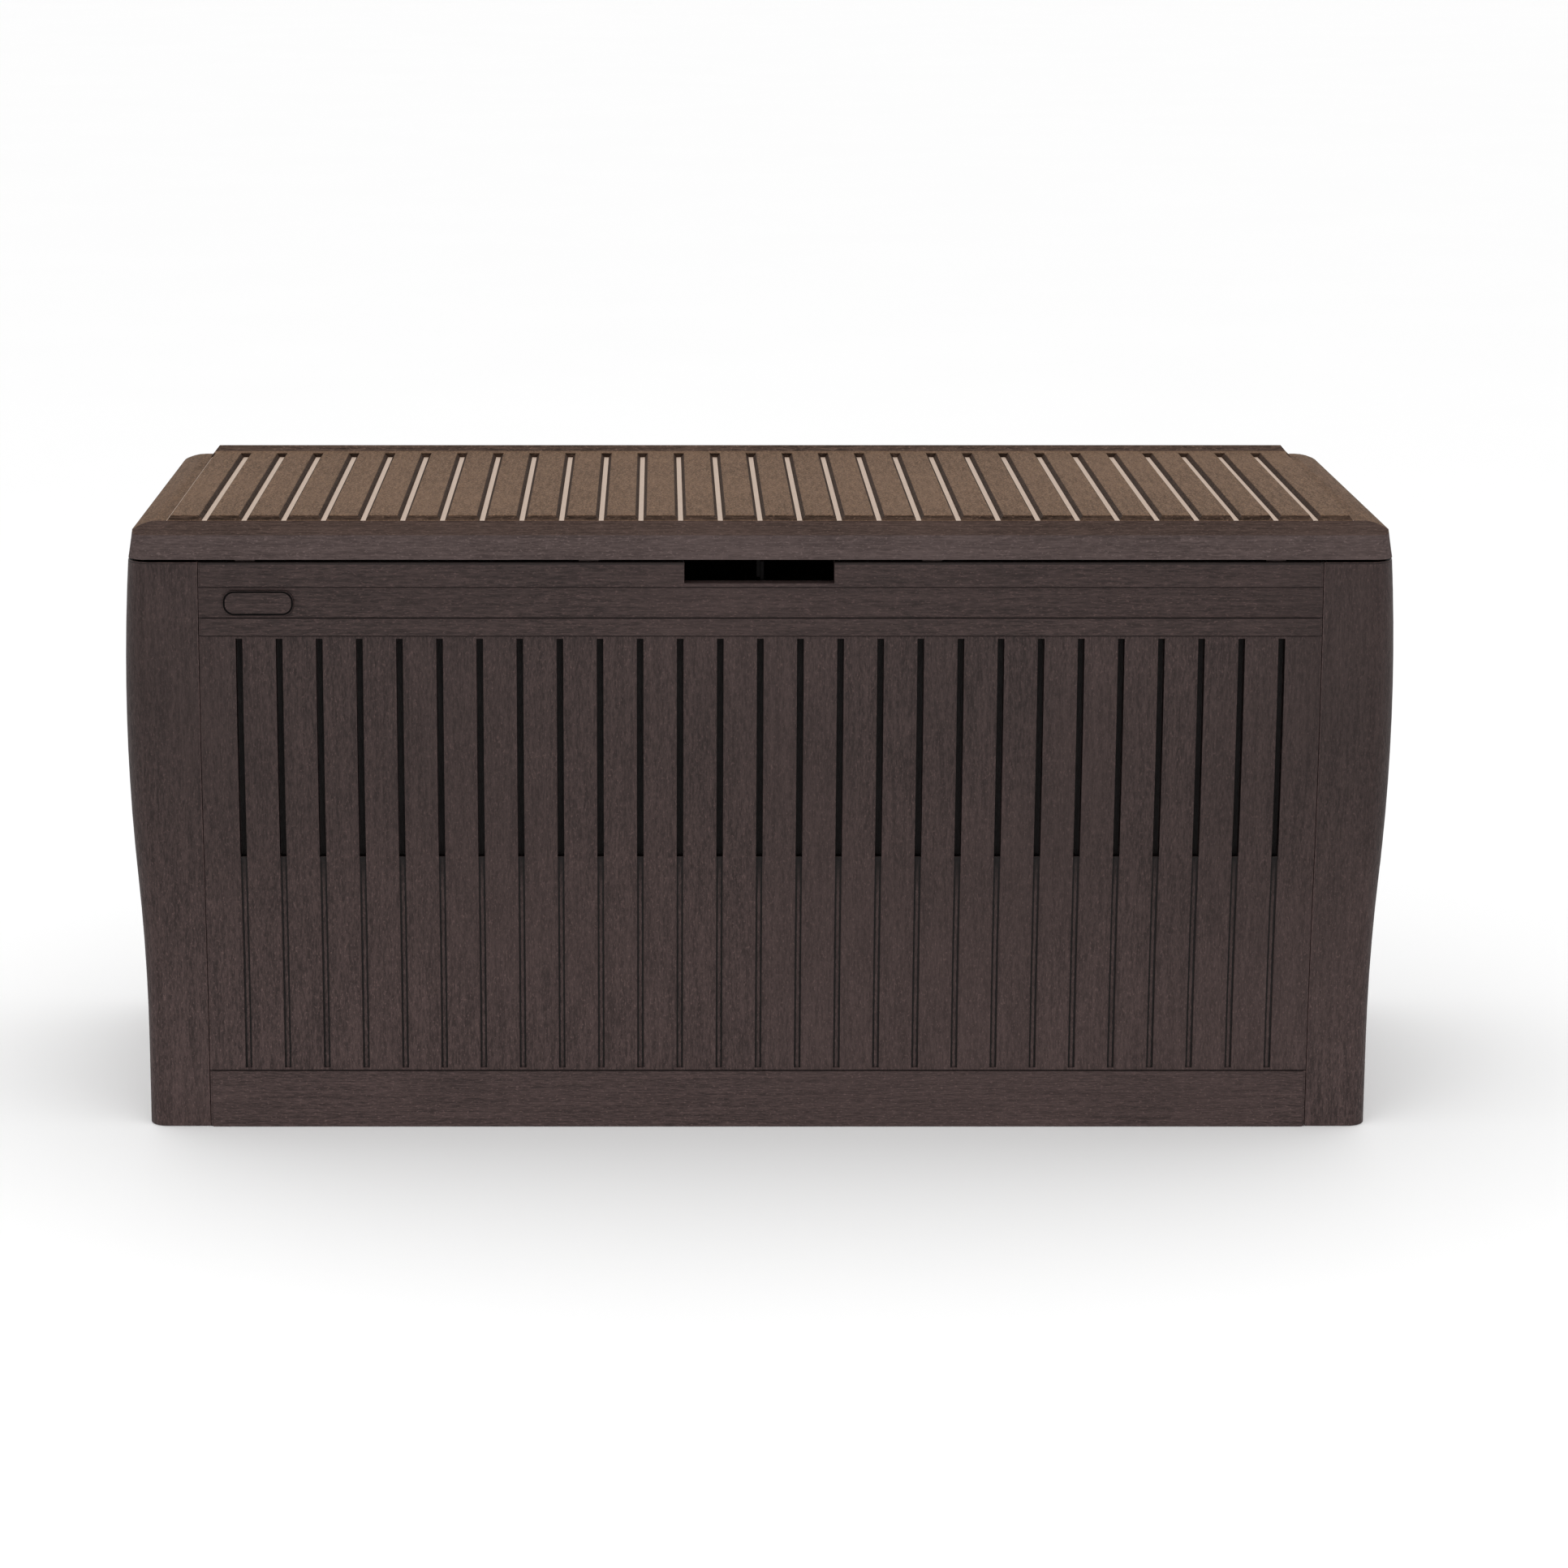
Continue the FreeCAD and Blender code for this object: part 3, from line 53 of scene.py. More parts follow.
# Grooves between the front slats: shallow channels that turn into deep slots further up, black there from
# their depth and painted shade.
GROOVE_PITCH = 0.0366
GROOVE_HALF = 0.0032
GROOVE_SIDE_FROM = 0.38
GROOVE_WANDER = 0.0003
GROOVE_FIELD_HALF = 0.4825
GROOVE_FOOT = 0.057
GROOVE_TOP = 0.4686
SLOT_FOOT = 0.262
SLOT_FADE = 0.034
SLOT_DRIFT = 0.008

# Height up to which the walls are painted lighter towards the foot as painted light, and how far the painted
# shade of the rim under the lid reaches down.
FOOT_LIGHT_TOP = 0.34
RIM_SHADE_DEPTH = 0.0016

# The slatted field of the lid, its gaps, the front slope and the rear rail.
GAP_PITCH = 0.03635
GAP_FLOOR_HALF = 0.0023
GAP_MOUTH_HALF = 0.0057
GAP_FLOOR = LID_HIGH.z - 0.009
SLAT_TOP = LID_HIGH.z - 0.0043
FIELD_HALF_WIDTH = 0.5436
FIELD_FRONT = LID_LOW.y + 0.030
FIELD_BACK = LID_HIGH.y - 0.0305
BEVEL_BACK = LID_LOW.y + 0.0336
RAIL_FRONT = LID_HIGH.y - 0.0183
LID_CREASE = LID_HIGH.z - 0.018
TOP_FOOT = LID_CREASE + 0.0016
SLOPE_RISE = 0.34


# ---------------------------------------------------------------- shader building

class Shader:
    """A Principled material and short calls that add nodes to it."""

    def __init__(self, name):
        self.material = bpy.data.materials.new(name)
        self.material.use_nodes = True
        self.tree = self.material.node_tree
        self.tree.nodes.clear()
        self.surface = self.tree.nodes.new("ShaderNodeBsdfPrincipled")
        output = self.tree.nodes.new("ShaderNodeOutputMaterial")
        self.tree.links.new(self.surface.outputs["BSDF"], output.inputs["Surface"])
        self.place = self.tree.nodes.new("ShaderNodeTexCoord").outputs["Object"]
        split = self.tree.nodes.new("ShaderNodeSeparateXYZ")
        self.tree.links.new(self.place, split.inputs["Vector"])
        self.x, self.y, self.z = split.outputs

    def feed(self, socket, value):
        if isinstance(value, bpy.types.NodeSocket):
            self.tree.links.new(value, socket)
        else:
            socket.default_value = value

    def math(self, operation, first, second=0.0):
        node = self.tree.nodes.new("ShaderNodeMath")
        node.operation = operation
        self.feed(node.inputs[0], first)
        self.feed(node.inputs[1], second)
        return node.outputs[0]

    def above(self, value, limit):
        return self.math("GREATER_THAN", value, limit)

    def below(self, value, limit):
        return self.math("LESS_THAN", value, limit)

    def both(self, first, second):
        return self.math("MULTIPLY", first, second)

    def either(self, first, second):
        return self.math("MAXIMUM", first, second)

    def between(self, value, low, high):
        return self.both(self.above(value, low), self.below(value, high))

    def outside(self, mask):
        return self.math("SUBTRACT", 1.0, mask)

    def from_nearest(self, value, pitch):
        """Distance from the nearest whole multiple of the pitch."""
        share = self.math("FRACT", self.math("ADD", self.math("DIVIDE", value, pitch), 0.5))
        return self.both(self.math("ABSOLUTE", self.math("SUBTRACT", share, 0.5)), pitch)

    def noise(self, stretch, detail=4.0, roughness=0.6, distortion=0.0):
        """Noise whose grains per metre along X, Y and Z are the three numbers of stretch."""
        scaled = self.tree.nodes.new("ShaderNodeVectorMath")
        scaled.operation = "MULTIPLY"
        self.tree.links.new(self.place, scaled.inputs[0])
        scaled.inputs[1].default_value = stretch
        node = self.tree.nodes.new("ShaderNodeTexNoise")
        node.inputs["Scale"].default_value = 1.0
        node.inputs["Detail"].default_value = detail
        node.inputs["Roughness"].default_value = roughness
        node.inputs["Distortion"].default_value = distortion
        self.tree.links.new(scaled.outputs[0], node.inputs["Vector"])
        return node.outputs["Fac"]

    def spread(self, value, low, high, to_low=0.0, to_high=1.0):
        node = self.tree.nodes.new("ShaderNodeMapRange")
        for name, number in (("From Min", low), ("From Max", high), ("To Min", to_low), ("To Max", to_high)):
            node.inputs[name].default_value = number
        self.feed(node.inputs["Value"], value)
        return node.outputs["Result"]

    def blend_values(self, factor, first, second):
        node = self.tree.nodes.new("ShaderNodeMix")
        self.feed(node.inputs[0], factor)
        self.feed(node.inputs[2], first)
        self.feed(node.inputs[3], second)
        return node.outputs[0]

    def blend_colours(self, factor, first, second):
        node = self.tree.nodes.new("ShaderNodeMix")
        node.data_type = "RGBA"
        self.feed(node.inputs[0], factor)
        self.feed(node.inputs[6], first)
        self.feed(node.inputs[7], second)
        return node.outputs[2]

    def bump(self, height, distance, strength):
        node = self.tree.nodes.new("ShaderNodeBump")
        node.inputs["Strength"].default_value = strength
        node.inputs["Distance"].default_value = distance
        self.feed(node.inputs["Height"], height)
        return node.outputs["Normal"]

    def gloss(self, level):
        self.surface.inputs["Specular IOR Level"].default_value = level

    def metal(self, share):
        self.surface.inputs["Metallic"].default_value = share

    def finish(self, colour, roughness, normal=None):
        self.feed(self.surface.inputs["Base Color"], colour)
        self.feed(self.surface.inputs["Roughness"], roughness)
        if normal is not None:
            self.feed(self.surface.inputs["Normal"], normal)
        return self.material


def tone(colour, factor):
    """The colour made lighter or darker, as RGBA."""
    return tuple(min(part * factor, 1.0) for part in colour) + (1.0,)


def tones(colour, factors):
    """One RGBA colour for each factor."""
    return [tone(colour, factor) for factor in factors]


# ---------------------------------------------------------------- materials

# Base colours, made lighter and darker by their materials.
WALL_BROWN = (0.0300, 0.0186, 0.0172)
# Paler brown for the painted light at the foot of the walls.
LIT_FOOT_BROWN = (0.0570, 0.0365, 0.0345)
SLAT_BROWN = (0.128, 0.0780, 0.0490)
END_BROWN = (0.112, 0.0665, 0.0405)
RAIL_BROWN = (0.0650, 0.0420, 0.0322)
SLAT_SIDE_SHADE_BROWN = (0.044, 0.0275, 0.020)
FASCIA_BROWN = (0.0625, 0.0460, 0.0437)
SLOPE_BROWN = (0.0555, 0.036, 0.030)
PALE_GAP = (0.60, 0.475, 0.39)
DARK_RESIN = (0.012, 0.010, 0.0095)
BLACK_RESIN = (0.003, 0.0026, 0.0026)

# Colours used as they are, with their alpha.
ZINC_SHADE = (0.46, 0.47, 0.49, 1.0)
ZINC_SHINE = (0.66, 0.67, 0.69, 1.0)
STEEL_COATING = (0.045, 0.042, 0.040, 1.0)
RUBBED_STEEL = (0.20, 0.19, 0.18, 1.0)
FLOOR_SHADE = (0.975, 0.975, 0.975, 1.0)
FLOOR_WHITE = (0.995, 0.995, 0.995, 1.0)

# Specular level of the resins, metallic share of the steels, and strength of the grain on each surface.
RESIN_GLOSS = 0.17
LID_GLOSS = 0.02
MATT = 0.02
BARE_METAL = 1.0
COATED_METAL = 0.7
WALL_CONTRAST = 0.78
SLAT_CONTRAST = 0.75
SLOPE_CONTRAST = 0.6
FASCIA_CONTRAST = 0.5

# Grains per metre along X, Y and Z of the fine strokes, the broad streaks and the painted glints.
UPRIGHT_GRAIN = ((620.0, 620.0, 140.0), (240.0, 240.0, 15.0), (680.0, 680.0, 330.0))
LYING_GRAIN = ((90.0, 500.0, 720.0), (9.0, 260.0, 300.0), (300.0, 500.0, 680.0))
SLAT_GRAIN = ((560.0, 300.0, 560.0), (260.0, 40.0, 260.0), (620.0, 420.0, 620.0))
STROKE_SHARE = 0.72

# Grains per metre of the other patterns, and of the plain parts' texture.
CLOUD_GRAIN = (6.0, 6.0, 4.0)
PATCH_GRAIN = (3.2, 3.2, 2.6)
WANDER_GRAIN = (500.0, 500.0, 240.0)
DRIFT_GRAIN = (11.0, 11.0, 2.0)
NICK_GRAIN = (240.0, 240.0, 240.0)
PLAIN_CLOUD_GRAIN = (9.0, 9.0, 9.0)
DRAWN_GRAIN = (20.0, 900.0, 900.0)
SPANGLE_GRAIN = (120.0, 120.0, 120.0)
RUBBED_GRAIN = (40.0, 40.0, 40.0)
FINE_GRAIN = (700.0, 700.0, 700.0)
FINE_PEBBLE = 700.0
COARSE_PEBBLE = 420.0

# Stretch of a noise that goes from fully one look to fully the other, and how strong that look gets.
NOISE_RANGE = (0.3, 0.7)
STROKE_RANGE = (0.40, 0.62)
GLINT_RANGE = (0.58, 0.70)
CLOUD_RANGE = (0.42, 0.72, 0.0, 0.4)
PATCH_RANGE = (0.42, 0.68, 0.0, 0.45)
NICK_RANGE = (0.4, 0.65)
PEBBLE_RANGE = (0.55, 0.8, 0.0, 0.5)
SPANGLE_RANGE = (0.35, 0.65)
RUBBED_RANGE = (0.5, 0.75)
STRIP_RANGE = (0.35, 0.7)

# How much darker and lighter than its own brown the grain gets, with its painted glints, clouds and patches.
DARK_STROKE = 0.58
LIGHT_STROKE = 0.55
GLINT_STRENGTH = 0.55
CLOUD_TONE = 1.45
GLINT_TONE = 3.4
PATCH_TONE = 0.66

# Factors from dark to light for rubbed edges with their painted highlight, plain parts and the floors of the
# lid's gaps.
EDGE_HIGHLIGHT_TONES = (1.2, 2.6)
PLAIN_TONES = (0.8, 1.25)
GAP_TONES = (0.86, 1.12)
PEBBLE_TONE = 1.7

# Factors for the places of the walls with painted shade, how much of the painted shade each takes, and the
# share of painted light at the foot.
RIM_SHADE_TONE = 0.35
GROOVE_SHADE_TONE = 0.08
SLOT_SHADE_SHARE = 0.92
SIDE_SHADE_SHARE = 0.9
LINE_SHADE_SHARE = 0.85
FOOT_LIGHT_SHARE = 0.58

# Roughness in the hollows and on the crests of the relief, then the relief's depth and strength.
WALL_ROUGHNESS = (0.68, 0.5)
LID_ROUGHNESS = (0.68, 0.52)
EDGE_ROUGHNESS = (0.5, 0.36)
PEBBLE_ROUGHNESS = (0.62, 0.46)
ZINC_ROUGHNESS = (0.42, 0.26)
STRIP_ROUGHNESS = (0.5, 0.3)
FLOOR_ROUGHNESS = 0.9
WALL_RELIEF = (0.0009, 0.9)
LID_RELIEF = (0.0011, 0.85)
NICK_RELIEF = (0.0002, 0.4)
PEBBLE_RELIEF = (0.0003, 0.7)
ZINC_RELIEF = (0.0001, 0.5)
STRIP_RELIEF = (0.00008, 0.5)

# How far a painted boundary stands off the face that it marks.
HAIR = 0.0004
SLAT_MARGIN = 0.0005
RAIL_MARGIN = 0.0003


def grain(shader, fine, broad, glint_grain):
    """Wood grain moulded in resin: fine strokes over broader streaks, with painted glints between."""
    strokes = shader.noise(fine, detail=3.0, roughness=0.7)
    streaks = shader.noise(broad, detail=2.0, roughness=0.5, distortion=0.3)
    height = shader.math("ADD", shader.both(strokes, STROKE_SHARE), shader.both(streaks, 1.0 - STROKE_SHARE))
    glints = shader.spread(shader.noise(glint_grain, detail=2.0), *GLINT_RANGE)
    return height, glints


def grained_colour(shader, brown, height, glints, contrast=1.0):
    """Brown that follows the grain, with cloudy patches and painted glints as bright specks."""
    dark = tone(brown, 1.0 - DARK_STROKE * contrast)
    light = tone(brown, 1.0 + LIGHT_STROKE * contrast)
    colour = shader.blend_colours(shader.spread(height, *STROKE_RANGE), dark, light)
    cloud = shader.spread(shader.noise(CLOUD_GRAIN, detail=3.0), *CLOUD_RANGE)
    colour = shader.blend_colours(cloud, colour, tone(brown, CLOUD_TONE))
    # Painted highlight: bright glints put into the colour.
    glinting = shader.both(glints, GLINT_STRENGTH * contrast)
    return shader.blend_colours(glinting, colour, tone(brown, GLINT_TONE))


def line_mask(shader):
    """The fine shadow lines along the edges of the bands."""
    mask = shader.between(shader.z, LOW_BAND_TOP, LOW_BAND_TOP + LINE_HEIGHT)
    for low in (MIDDLE_BAND_FOOT - LINE_HEIGHT, MIDDLE_BAND_TOP, TOP_BAND_FOOT - LINE_HEIGHT):
        mask = shader.either(mask, shader.between(shader.z, low, low + LINE_HEIGHT))
    return mask


def groove_masks(shader):
    """The grooves between the front slats, and the line of painted shade along both sides of each."""
    sway = shader.noise(WANDER_GRAIN, detail=2.0)
    wander = shader.spread(sway, *NOISE_RANGE, -GROOVE_WANDER, GROOVE_WANDER)
    across = shader.math("ADD", shader.from_nearest(shader.x, GROOVE_PITCH), wander)
    area = shader.both(shader.between(shader.z, GROOVE_FOOT, GROOVE_TOP),
                       shader.below(shader.math("ABSOLUTE", shader.x), GROOVE_FIELD_HALF))
    groove = shader.both(area, shader.below(across, GROOVE_HALF))
    side = shader.both(groove, shader.above(across, GROOVE_HALF * GROOVE_SIDE_FROM))
    return groove, side


def slot_shade(shader):
    """Painted shade in the deep slots, which fades out unevenly just under their feet."""
    drift = shader.spread(shader.noise(DRIFT_GRAIN, detail=1.0), *NOISE_RANGE, -SLOT_DRIFT, SLOT_DRIFT)
    level = shader.math("ADD", shader.z, drift)
    return shader.spread(level, SLOT_FOOT - SLOT_FADE, SLOT_FOOT, 0.0, SLOT_SHADE_SHARE)


def wall_colour(shader, height, glints):
    """Quiet grain with broad darker patches, paler towards the foot with painted light."""
    colour = grained_colour(shader, WALL_BROWN, height, glints, WALL_CONTRAST)
    patch = shader.spread(shader.noise(PATCH_GRAIN, detail=2.0), *PATCH_RANGE)
    colour = shader.blend_colours(patch, colour, tone(WALL_BROWN, PATCH_TONE))
    # Painted light: the walls are made paler towards the foot.
    foot_light = shader.spread(shader.z, 0.0, FOOT_LIGHT_TOP, FOOT_LIGHT_SHARE, 0.0)
    lit_foot = grained_colour(shader, LIT_FOOT_BROWN, height, glints, WALL_CONTRAST)
    return shader.blend_colours(foot_light, colour, lit_foot)


def wall_finish(shader, height, colour):
    """Paint shade on the narrow top edge that lies in the lid's shadow, then set gloss and relief."""
    # Painted shadow of the lid on the top edge of the wall.
    rim = shader.above(shader.z, WALL_TOP - RIM_SHADE_DEPTH)
    colour = shader.blend_colours(rim, colour, tone(WALL_BROWN, RIM_SHADE_TONE))
    shader.gloss(RESIN_GLOSS)
    roughness = shader.spread(height, *NOISE_RANGE, *WALL_ROUGHNESS)
    return shader.finish(colour, roughness, shader.bump(height, *WALL_RELIEF))


def wall_resin(name):
    """Dark brown resin with upright wood grain."""
    shader = Shader(name)
    height, glints = grain(shader, *UPRIGHT_GRAIN)
    return wall_finish(shader, height, wall_colour(shader, height, glints))


def front_resin(name):
    """Upright grain on the slats, lying grain on the bands, painted shade in the grooves and along the lines.
    """
    shader = Shader(name)
    upright, upright_glints = grain(shader, *UPRIGHT_GRAIN)
    lying, lying_glints = grain(shader, *LYING_GRAIN)
    band = shader.either(shader.below(shader.z, LOW_BAND_TOP), shader.above(shader.z, MIDDLE_BAND_FOOT))
    height = shader.blend_values(band, upright, lying)
    glints = shader.blend_values(band, upright_glints, lying_glints)
    colour = wall_colour(shader, height, glints)
    groove, side = groove_masks(shader)
    # Painted shade in the slots, along the sides of the grooves and along the fine lines of the bands.
    shade = shader.both(groove, shader.either(slot_shade(shader), shader.both(side, SIDE_SHADE_SHARE)))
    shade = shader.either(shade, shader.both(line_mask(shader), LINE_SHADE_SHARE))
    return wall_finish(shader, height, shader.blend_colours(shade, colour, tone(WALL_BROWN, GROOVE_SHADE_TONE)))


def worn_highlit_edge(name, colour):
    """Rubbed edge of a moulding: smoother, with small nicks, a shade lighter as wear and as a painted
    highlight.
    """
    shader = Shader(name)
    nicks = shader.noise(NICK_GRAIN, detail=3.0)
    # Painted highlight along the edge, on top of wear.
    worn_highlit = shader.blend_colours(shader.spread(nicks, *NICK_RANGE), *tones(colour, EDGE_HIGHLIGHT_TONES))
    shader.gloss(RESIN_GLOSS)
    roughness = shader.spread(nicks, *NOISE_RANGE, *EDGE_ROUGHNESS)
    return shader.finish(worn_highlit, roughness, shader.bump(nicks, *NICK_RELIEF))


def lid_masks(shader):
    """Where the lid is top, gap floor, side of a gap or slat end with painted shade, and rear rail."""
    ahead = shader.math("SUBTRACT", FIELD_FRONT, shader.y)
    slope = shader.math("SUBTRACT", GAP_FLOOR - HAIR, shader.both(ahead, SLOPE_RISE))
    top = shader.both(shader.above(shader.z, TOP_FOOT),
                      shader.either(shader.above(shader.y, FIELD_FRONT), shader.below(shader.z, slope)))
    field = shader.both(shader.between(shader.y, FIELD_FRONT, FIELD_BACK),
                        shader.below(shader.math("ABSOLUTE", shader.x), FIELD_HALF_WIDTH))
    across = shader.from_nearest(shader.x, GAP_PITCH)
    low = shader.below(shader.z, SLAT_TOP - SLAT_MARGIN)
    raised = shader.above(shader.z, GAP_FLOOR + HAIR)
    floor = shader.both(shader.both(field, shader.below(across, GAP_FLOOR_HALF)),
                        shader.between(shader.z, GAP_FLOOR - HAIR, GAP_FLOOR + HAIR))
    side = shader.both(shader.both(field, shader.below(across, GAP_MOUTH_HALF)), shader.both(low, raised))
    bevel = shader.both(shader.both(field, shader.below(shader.y, BEVEL_BACK)), shader.both(low, raised))
    rail = shader.both(shader.above(shader.y, RAIL_FRONT), shader.above(shader.z, SLAT_TOP - RAIL_MARGIN))
    return top, floor, shader.either(side, bevel), rail


def lid_resin():
    """Warm brown slats with grain and painted glints, pale gap floors, darker grained fascia, and painted
    shade on the sides of the gaps and the slat ends.
    """
    shader = Shader("lid_resin")
    top, floor, shaded, rail = lid_masks(shader)
    along, along_glints = grain(shader, *SLAT_GRAIN)
    lying, lying_glints = grain(shader, *LYING_GRAIN)
    height = shader.blend_values(top, lying, along)
    slats = grained_colour(shader, SLAT_BROWN, along, along_glints, SLAT_CONTRAST)
    ends = shader.above(shader.math("ABSOLUTE", shader.x), FIELD_HALF_WIDTH)
    slats = shader.blend_colours(ends, slats,
                                 grained_colour(shader, END_BROWN, along, along_glints, SLAT_CONTRAST))
    rails = grained_colour(shader, RAIL_BROWN, lying, lying_glints)
    fascia = shader.blend_colours(shader.above(shader.z, LID_CREASE),
                                  grained_colour(shader, FASCIA_BROWN, lying, lying_glints, FASCIA_CONTRAST),
                                  grained_colour(shader, SLOPE_BROWN, lying, lying_glints, SLOPE_CONTRAST))
    colour = shader.blend_colours(top, fascia, slats)
    colour = shader.blend_colours(rail, colour, rails)
    # Painted shade on the sides of the gaps and the front ends of the slats.
    colour = shader.blend_colours(shaded, colour, grained_colour(shader, SLAT_SIDE_SHADE_BROWN, lying, lying_glints))
    pale = shader.blend_colours(along, *tones(PALE_GAP, GAP_TONES))
    colour = shader.blend_colours(floor, colour, pale)
    relief = shader.both(height, shader.outside(floor))
    shader.gloss(LID_GLOSS)
    roughness = shader.spread(height, *NOISE_RANGE, *LID_ROUGHNESS)
    return shader.finish(colour, roughness, shader.bump(relief, *LID_RELIEF))


def moulded_resin(name, colour, grains, gloss=RESIN_GLOSS):
    """Fine spark-eroded texture of plain moulded parts."""
    shader = Shader(name)
    pebble = shader.noise((grains, grains, grains), detail=3.0, roughness=0.6)
    cloud = shader.noise(PLAIN_CLOUD_GRAIN, detail=2.0)
    shade = shader.blend_colours(shader.spread(cloud, *NOISE_RANGE), *tones(colour, PLAIN_TONES))
    shade = shader.blend_colours(shader.spread(pebble, *PEBBLE_RANGE), shade, tone(colour, PEBBLE_TONE))
    shader.gloss(gloss)
    roughness = shader.spread(pebble, *NOISE_RANGE, *PEBBLE_ROUGHNESS)
    return shader.finish(shade, roughness, shader.bump(pebble, *PEBBLE_RELIEF))


def zinc_steel(name):
    """Galvanised steel with faint spangle and drawn lines along X."""
    shader = Shader(name)
    drawn = shader.noise(DRAWN_GRAIN, detail=3.0)
    spangle = shader.noise(SPANGLE_GRAIN, detail=1.0)
    patches = shader.spread(spangle, *SPANGLE_RANGE)
    shade = shader.blend_colours(patches, ZINC_SHADE, ZINC_SHINE)
    shader.metal(BARE_METAL)
    roughness = shader.spread(drawn, *NOISE_RANGE, *ZINC_ROUGHNESS)
    return shader.finish(shade, roughness, shader.bump(drawn, *ZINC_RELIEF))


def coated_steel(name):
    """Dark coated strip steel, rubbed brighter where the coating has thinned."""
    shader = Shader(name)
    rubbed = shader.noise(RUBBED_GRAIN, detail=5.0, roughness=0.65)
    fine = shader.noise(FINE_GRAIN, detail=2.0)
    bare = shader.spread(rubbed, *RUBBED_RANGE)
    shade = shader.blend_colours(bare, STEEL_COATING, RUBBED_STEEL)
    shader.metal(COATED_METAL)
    roughness = shader.spread(rubbed, *STRIP_RANGE, *STRIP_ROUGHNESS)
    return shader.finish(shade, roughness, shader.bump(fine, *STRIP_RELIEF))


# Softened edges: welding distance, steps of the bevel, the angle in degrees that counts as sharp, widths.
WELD_REACH = 0.00001
BEVEL_STEPS = 2
SHARP_ANGLE = 38
WALL_ROUNDING = 0.0006
FRONT_ROUNDING = 0.0007
LID_ROUNDING = 0.0005
FLOOR_ROUNDING = 0.0005
PLATE_ROUNDING = 0.0004
FITTING_ROUNDING = 0.0003


def dress(names, material, edge=None, rounding=0.0):
    """Give CAD nodes a material and, where edge is given, softly rounded rubbed edges that carry a painted
    highlight.
    """
    for name in names:
        thing = NODES[name]
        thing.data.materials.clear()
        thing.data.materials.append(material)
        if edge is None:
            continue
        thing.data.materials.append(edge)
        weld = thing.modifiers.new("weld", "WELD")
        weld.merge_threshold = WELD_REACH
        bevel = thing.modifiers.new("rounding", "BEVEL")
        bevel.width = rounding
        bevel.segments = BEVEL_STEPS
        bevel.limit_method = "ANGLE"
        bevel.angle_limit = math.radians(SHARP_ANGLE)
        bevel.material = 1


def dress_all():
    wall_edge_highlight = worn_highlit_edge("wall_edge_highlight", WALL_BROWN)
    lid = lid_resin()
    dark_edge_highlight = worn_highlit_edge("dark_edge_highlight", DARK_RESIN)
    dress(["front_panel"], front_resin("front_resin"), wall_edge_highlight, FRONT_ROUNDING)
    dress(["back_panel", "left_end_panel", "right_end_panel"],
          wall_resin("wall_resin"), wall_edge_highlight, WALL_ROUNDING)
    dress(["lid_panel"], lid, lid, LID_ROUNDING)
    dress(["base_panel"], moulded_resin("floor_resin", WALL_BROWN, COARSE_PEBBLE), wall_edge_highlight, FLOOR_ROUNDING)
    dress(["blank_plate"], front_resin("plate_resin"), wall_edge_highlight, PLATE_ROUNDING)
    dress(["box_lock_tab", "lid_lock_tab"], moulded_resin("black_resin", BLACK_RESIN, FINE_PEBBLE, MATT))
    dress(["lid_frame", "box_hinge_brackets", "lid_hinge_brackets", "left_stay_bracket", "right_stay_bracket",
           "tube_saddles", "tube_end_plugs", "stay_studs", "stud_caps"],
          moulded_resin("dark_resin", DARK_RESIN, FINE_PEBBLE), dark_edge_highlight, FITTING_ROUNDING)
    dress(["hinge_pins", "stay_rivets", "front_lid_tube", "rear_lid_tube"], zinc_steel("zinc_steel"))
    dress(["left_lid_stay", "right_lid_stay", "corner_clips"], coated_steel("coated_steel"))


# ---------------------------------------------------------------- the plate's raised rim

# Section of the bead: how far in from the plate's outline, and how far behind its face, or in front if
# negative.
RIM_SECTION = ((0.0002, 0.0004), (0.0004, -0.0004), (0.0010, -0.0007), (0.0018, -0.0004), (0.0021, 0.0004))
RIM_CORNER_TRIM = 0.0012
CORNER_STEPS = 8
QUARTER = 90


def rounded_loop(mesh, low, high, radius, y):
    """Corner-rounded rectangle of vertices in the XZ plane, counter-clockwise."""
    corners = ((high.x - radius, low.z + radius, -QUARTER), (high.x - radius, high.z - radius, 0),
               (low.x + radius, high.z - radius, QUARTER), (low.x + radius, low.z + radius, 2 * QUARTER))
    loop = []
    for centre_x, centre_z, start in corners:
        for step in range(CORNER_STEPS + 1):
            angle = math.radians(start + QUARTER * step / CORNER_STEPS)
            loop.append(mesh.verts.new((centre_x + radius * math.cos(angle), y,
                                        centre_z + radius * math.sin(angle))))
    return loop


def plate_rim(material):
    """Low rounded bead that frames the blank plate."""
    front = PLATE_LOW.y
    radius = (PLATE_HIGH.z - PLATE_LOW.z) / 2 - RIM_CORNER_TRIM
    mesh = bmesh.new()
    loops = []
    for inset, depth in RIM_SECTION:
        low = PLATE_LOW.copy()
        high = PLATE_HIGH.copy()
        low.x += inset
        low.z += inset
        high.x -= inset
        high.z -= inset
        loops.append(rounded_loop(mesh, low, high, radius - inset, front + depth))
    for outer, inner in zip(loops, loops[1:]):
        count = len(outer)
        for index in range(count):
            after = (index + 1) % count
            mesh.faces.new((outer[index], outer[after], inner[after], inner[index]))
    bmesh.ops.recalc_face_normals(mesh, faces=mesh.faces)
    data = bpy.data.meshes.new("plate_rim")
    mesh.to_mesh(data)
    mesh.free()
    for face in data.polygons:
        face.use_smooth = True
    data.materials.append(material)
    rim = bpy.data.objects.new("plate_rim", data)
    bpy.context.scene.collection.objects.link(rim)
    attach(rim, "box")


# ---------------------------------------------------------------- studio

WHITE = (1.0, 1.0, 1.0, 1.0)
WORLD_STRENGTH = 1.0

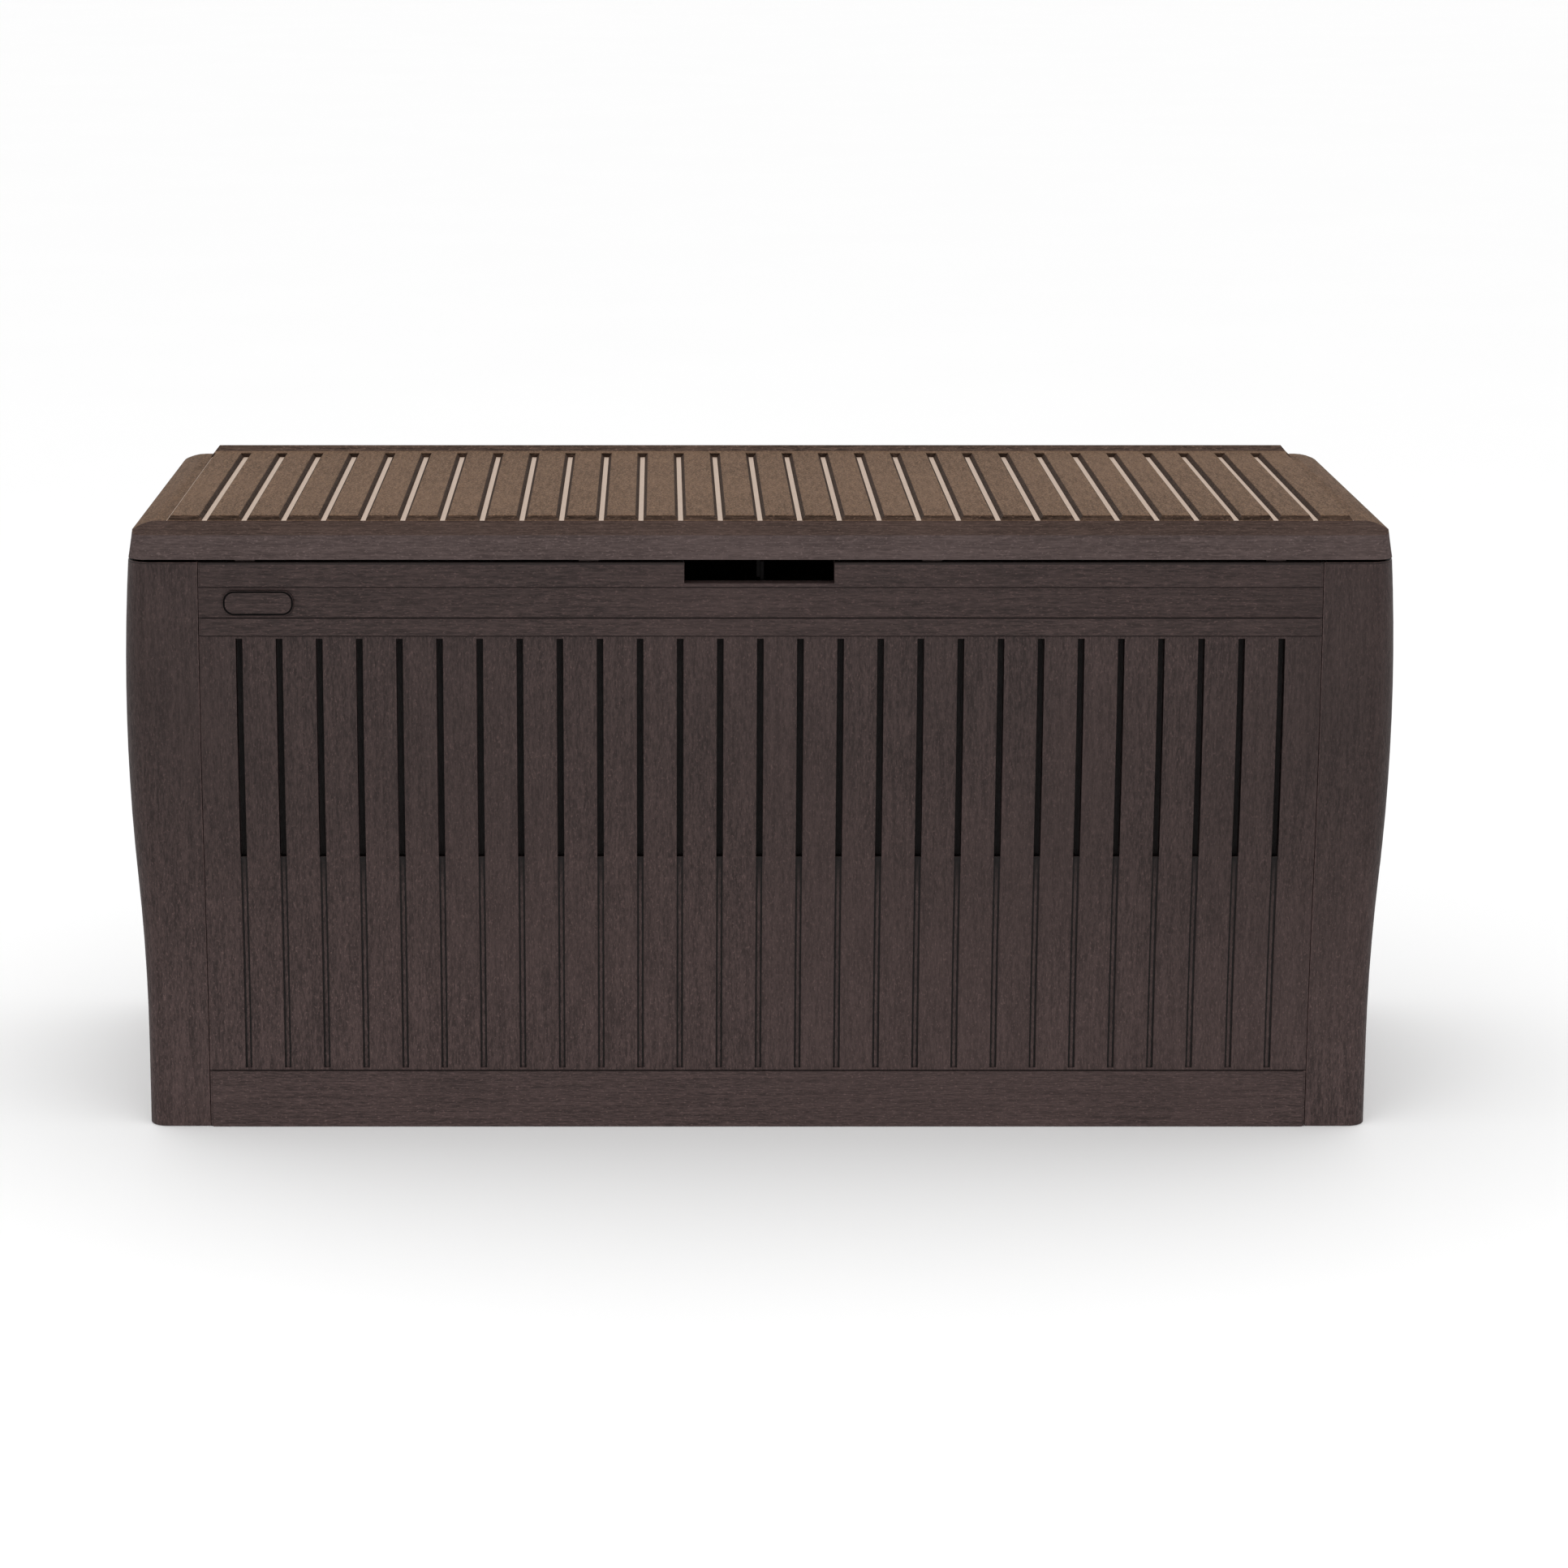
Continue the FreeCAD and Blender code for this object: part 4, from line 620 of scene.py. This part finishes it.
# Name, place, point aimed at, size and watts of each soft light.
BOX_MIDDLE = (0.0, 0.0, 0.3)
BOX_FOOT = (0.0, 0.0, 0.1)
SOFTBOXES = (
    ("key_softbox", (-1.6, -2.6, 2.4), BOX_MIDDLE, (1.8, 1.4), 9.0),
    ("fill_softbox", (2.2, -2.4, 1.5), BOX_MIDDLE, (1.6, 1.6), 3.0),
    ("low_softbox", (0.0, -2.8, 0.32), BOX_FOOT, (3.2, 0.5), 17.0),
    ("top_softbox", (0.0, 0.6, 2.6), BOX_MIDDLE, (2.4, 1.4), 6.0),
)


# The floor lies a hair under the box's feet.
FLOOR_SIZE = 30.0
FLOOR_DROP = 0.0004
MOTTLE_GRAIN = (1.5, 1.5, 1.5)

# The camera stands off centre, with the shift that the framing needs. LEVEL turns it to the horizon.
SENSOR = 36.0
LENS = 90.745
SHIFT = (0.0797, -0.1136)
FAR_CLIP = 100.0
EYE_X = -0.0925
EYE_DISTANCE = 3.538
EYE_HEIGHT = 1.186
LOOK_DOWN = 11.0
LEVEL = 90.0


def studio_floor():
    shader = Shader("studio_floor")
    mottle = shader.noise(MOTTLE_GRAIN, detail=2.0)
    pale = shader.blend_colours(mottle, FLOOR_SHADE, FLOOR_WHITE)
    material = shader.finish(pale, FLOOR_ROUGHNESS)
    mesh = bmesh.new()
    bmesh.ops.create_grid(mesh, x_segments=1, y_segments=1, size=FLOOR_SIZE)
    data = bpy.data.meshes.new("floor")
    mesh.to_mesh(data)
    mesh.free()
    data.materials.append(material)
    floor = bpy.data.objects.new("floor", data)
    floor.location.z = -FLOOR_DROP
    bpy.context.scene.collection.objects.link(floor)


def soft_light(name, place, aim, size, power):
    data = bpy.data.lights.new(name, "AREA")
    data.shape = "RECTANGLE"
    data.size, data.size_y = size
    data.energy = power
    lamp = bpy.data.objects.new(name, data)
    lamp.location = place
    direction = aim[0] - place[0], aim[1] - place[1], aim[2] - place[2]
    lamp.rotation_euler = Vector(direction).to_track_quat("-Z", "Y").to_euler()
    bpy.context.scene.collection.objects.link(lamp)


def lighting():
    world = bpy.data.worlds.new("studio")
    world.use_nodes = True
    background = world.node_tree.nodes["Background"]
    background.inputs["Color"].default_value = WHITE
    background.inputs["Strength"].default_value = WORLD_STRENGTH
    bpy.context.scene.world = world
    for name, place, aim, size, power in SOFTBOXES:
        soft_light(name, place, aim, size, power)


def camera():
    """Looks at the front from a little to the left, above the box and tilted down."""
    data = bpy.data.cameras.new("camera")
    data.sensor_width = SENSOR
    data.lens = LENS
    data.shift_x, data.shift_y = SHIFT
    data.clip_end = FAR_CLIP
    eye = bpy.data.objects.new("camera", data)
    eye.location = (EYE_X, LID_LOW.y - EYE_DISTANCE, EYE_HEIGHT)
    eye.rotation_euler = (math.radians(LEVEL - LOOK_DOWN), 0.0, 0.0)
    bpy.context.scene.collection.objects.link(eye)
    bpy.context.scene.camera = eye


dress_all()
plate_rim(moulded_resin("rim_resin", BLACK_RESIN, FINE_PEBBLE, MATT))
studio_floor()
lighting()
camera()
bpy.context.scene.view_settings.view_transform = "Standard"
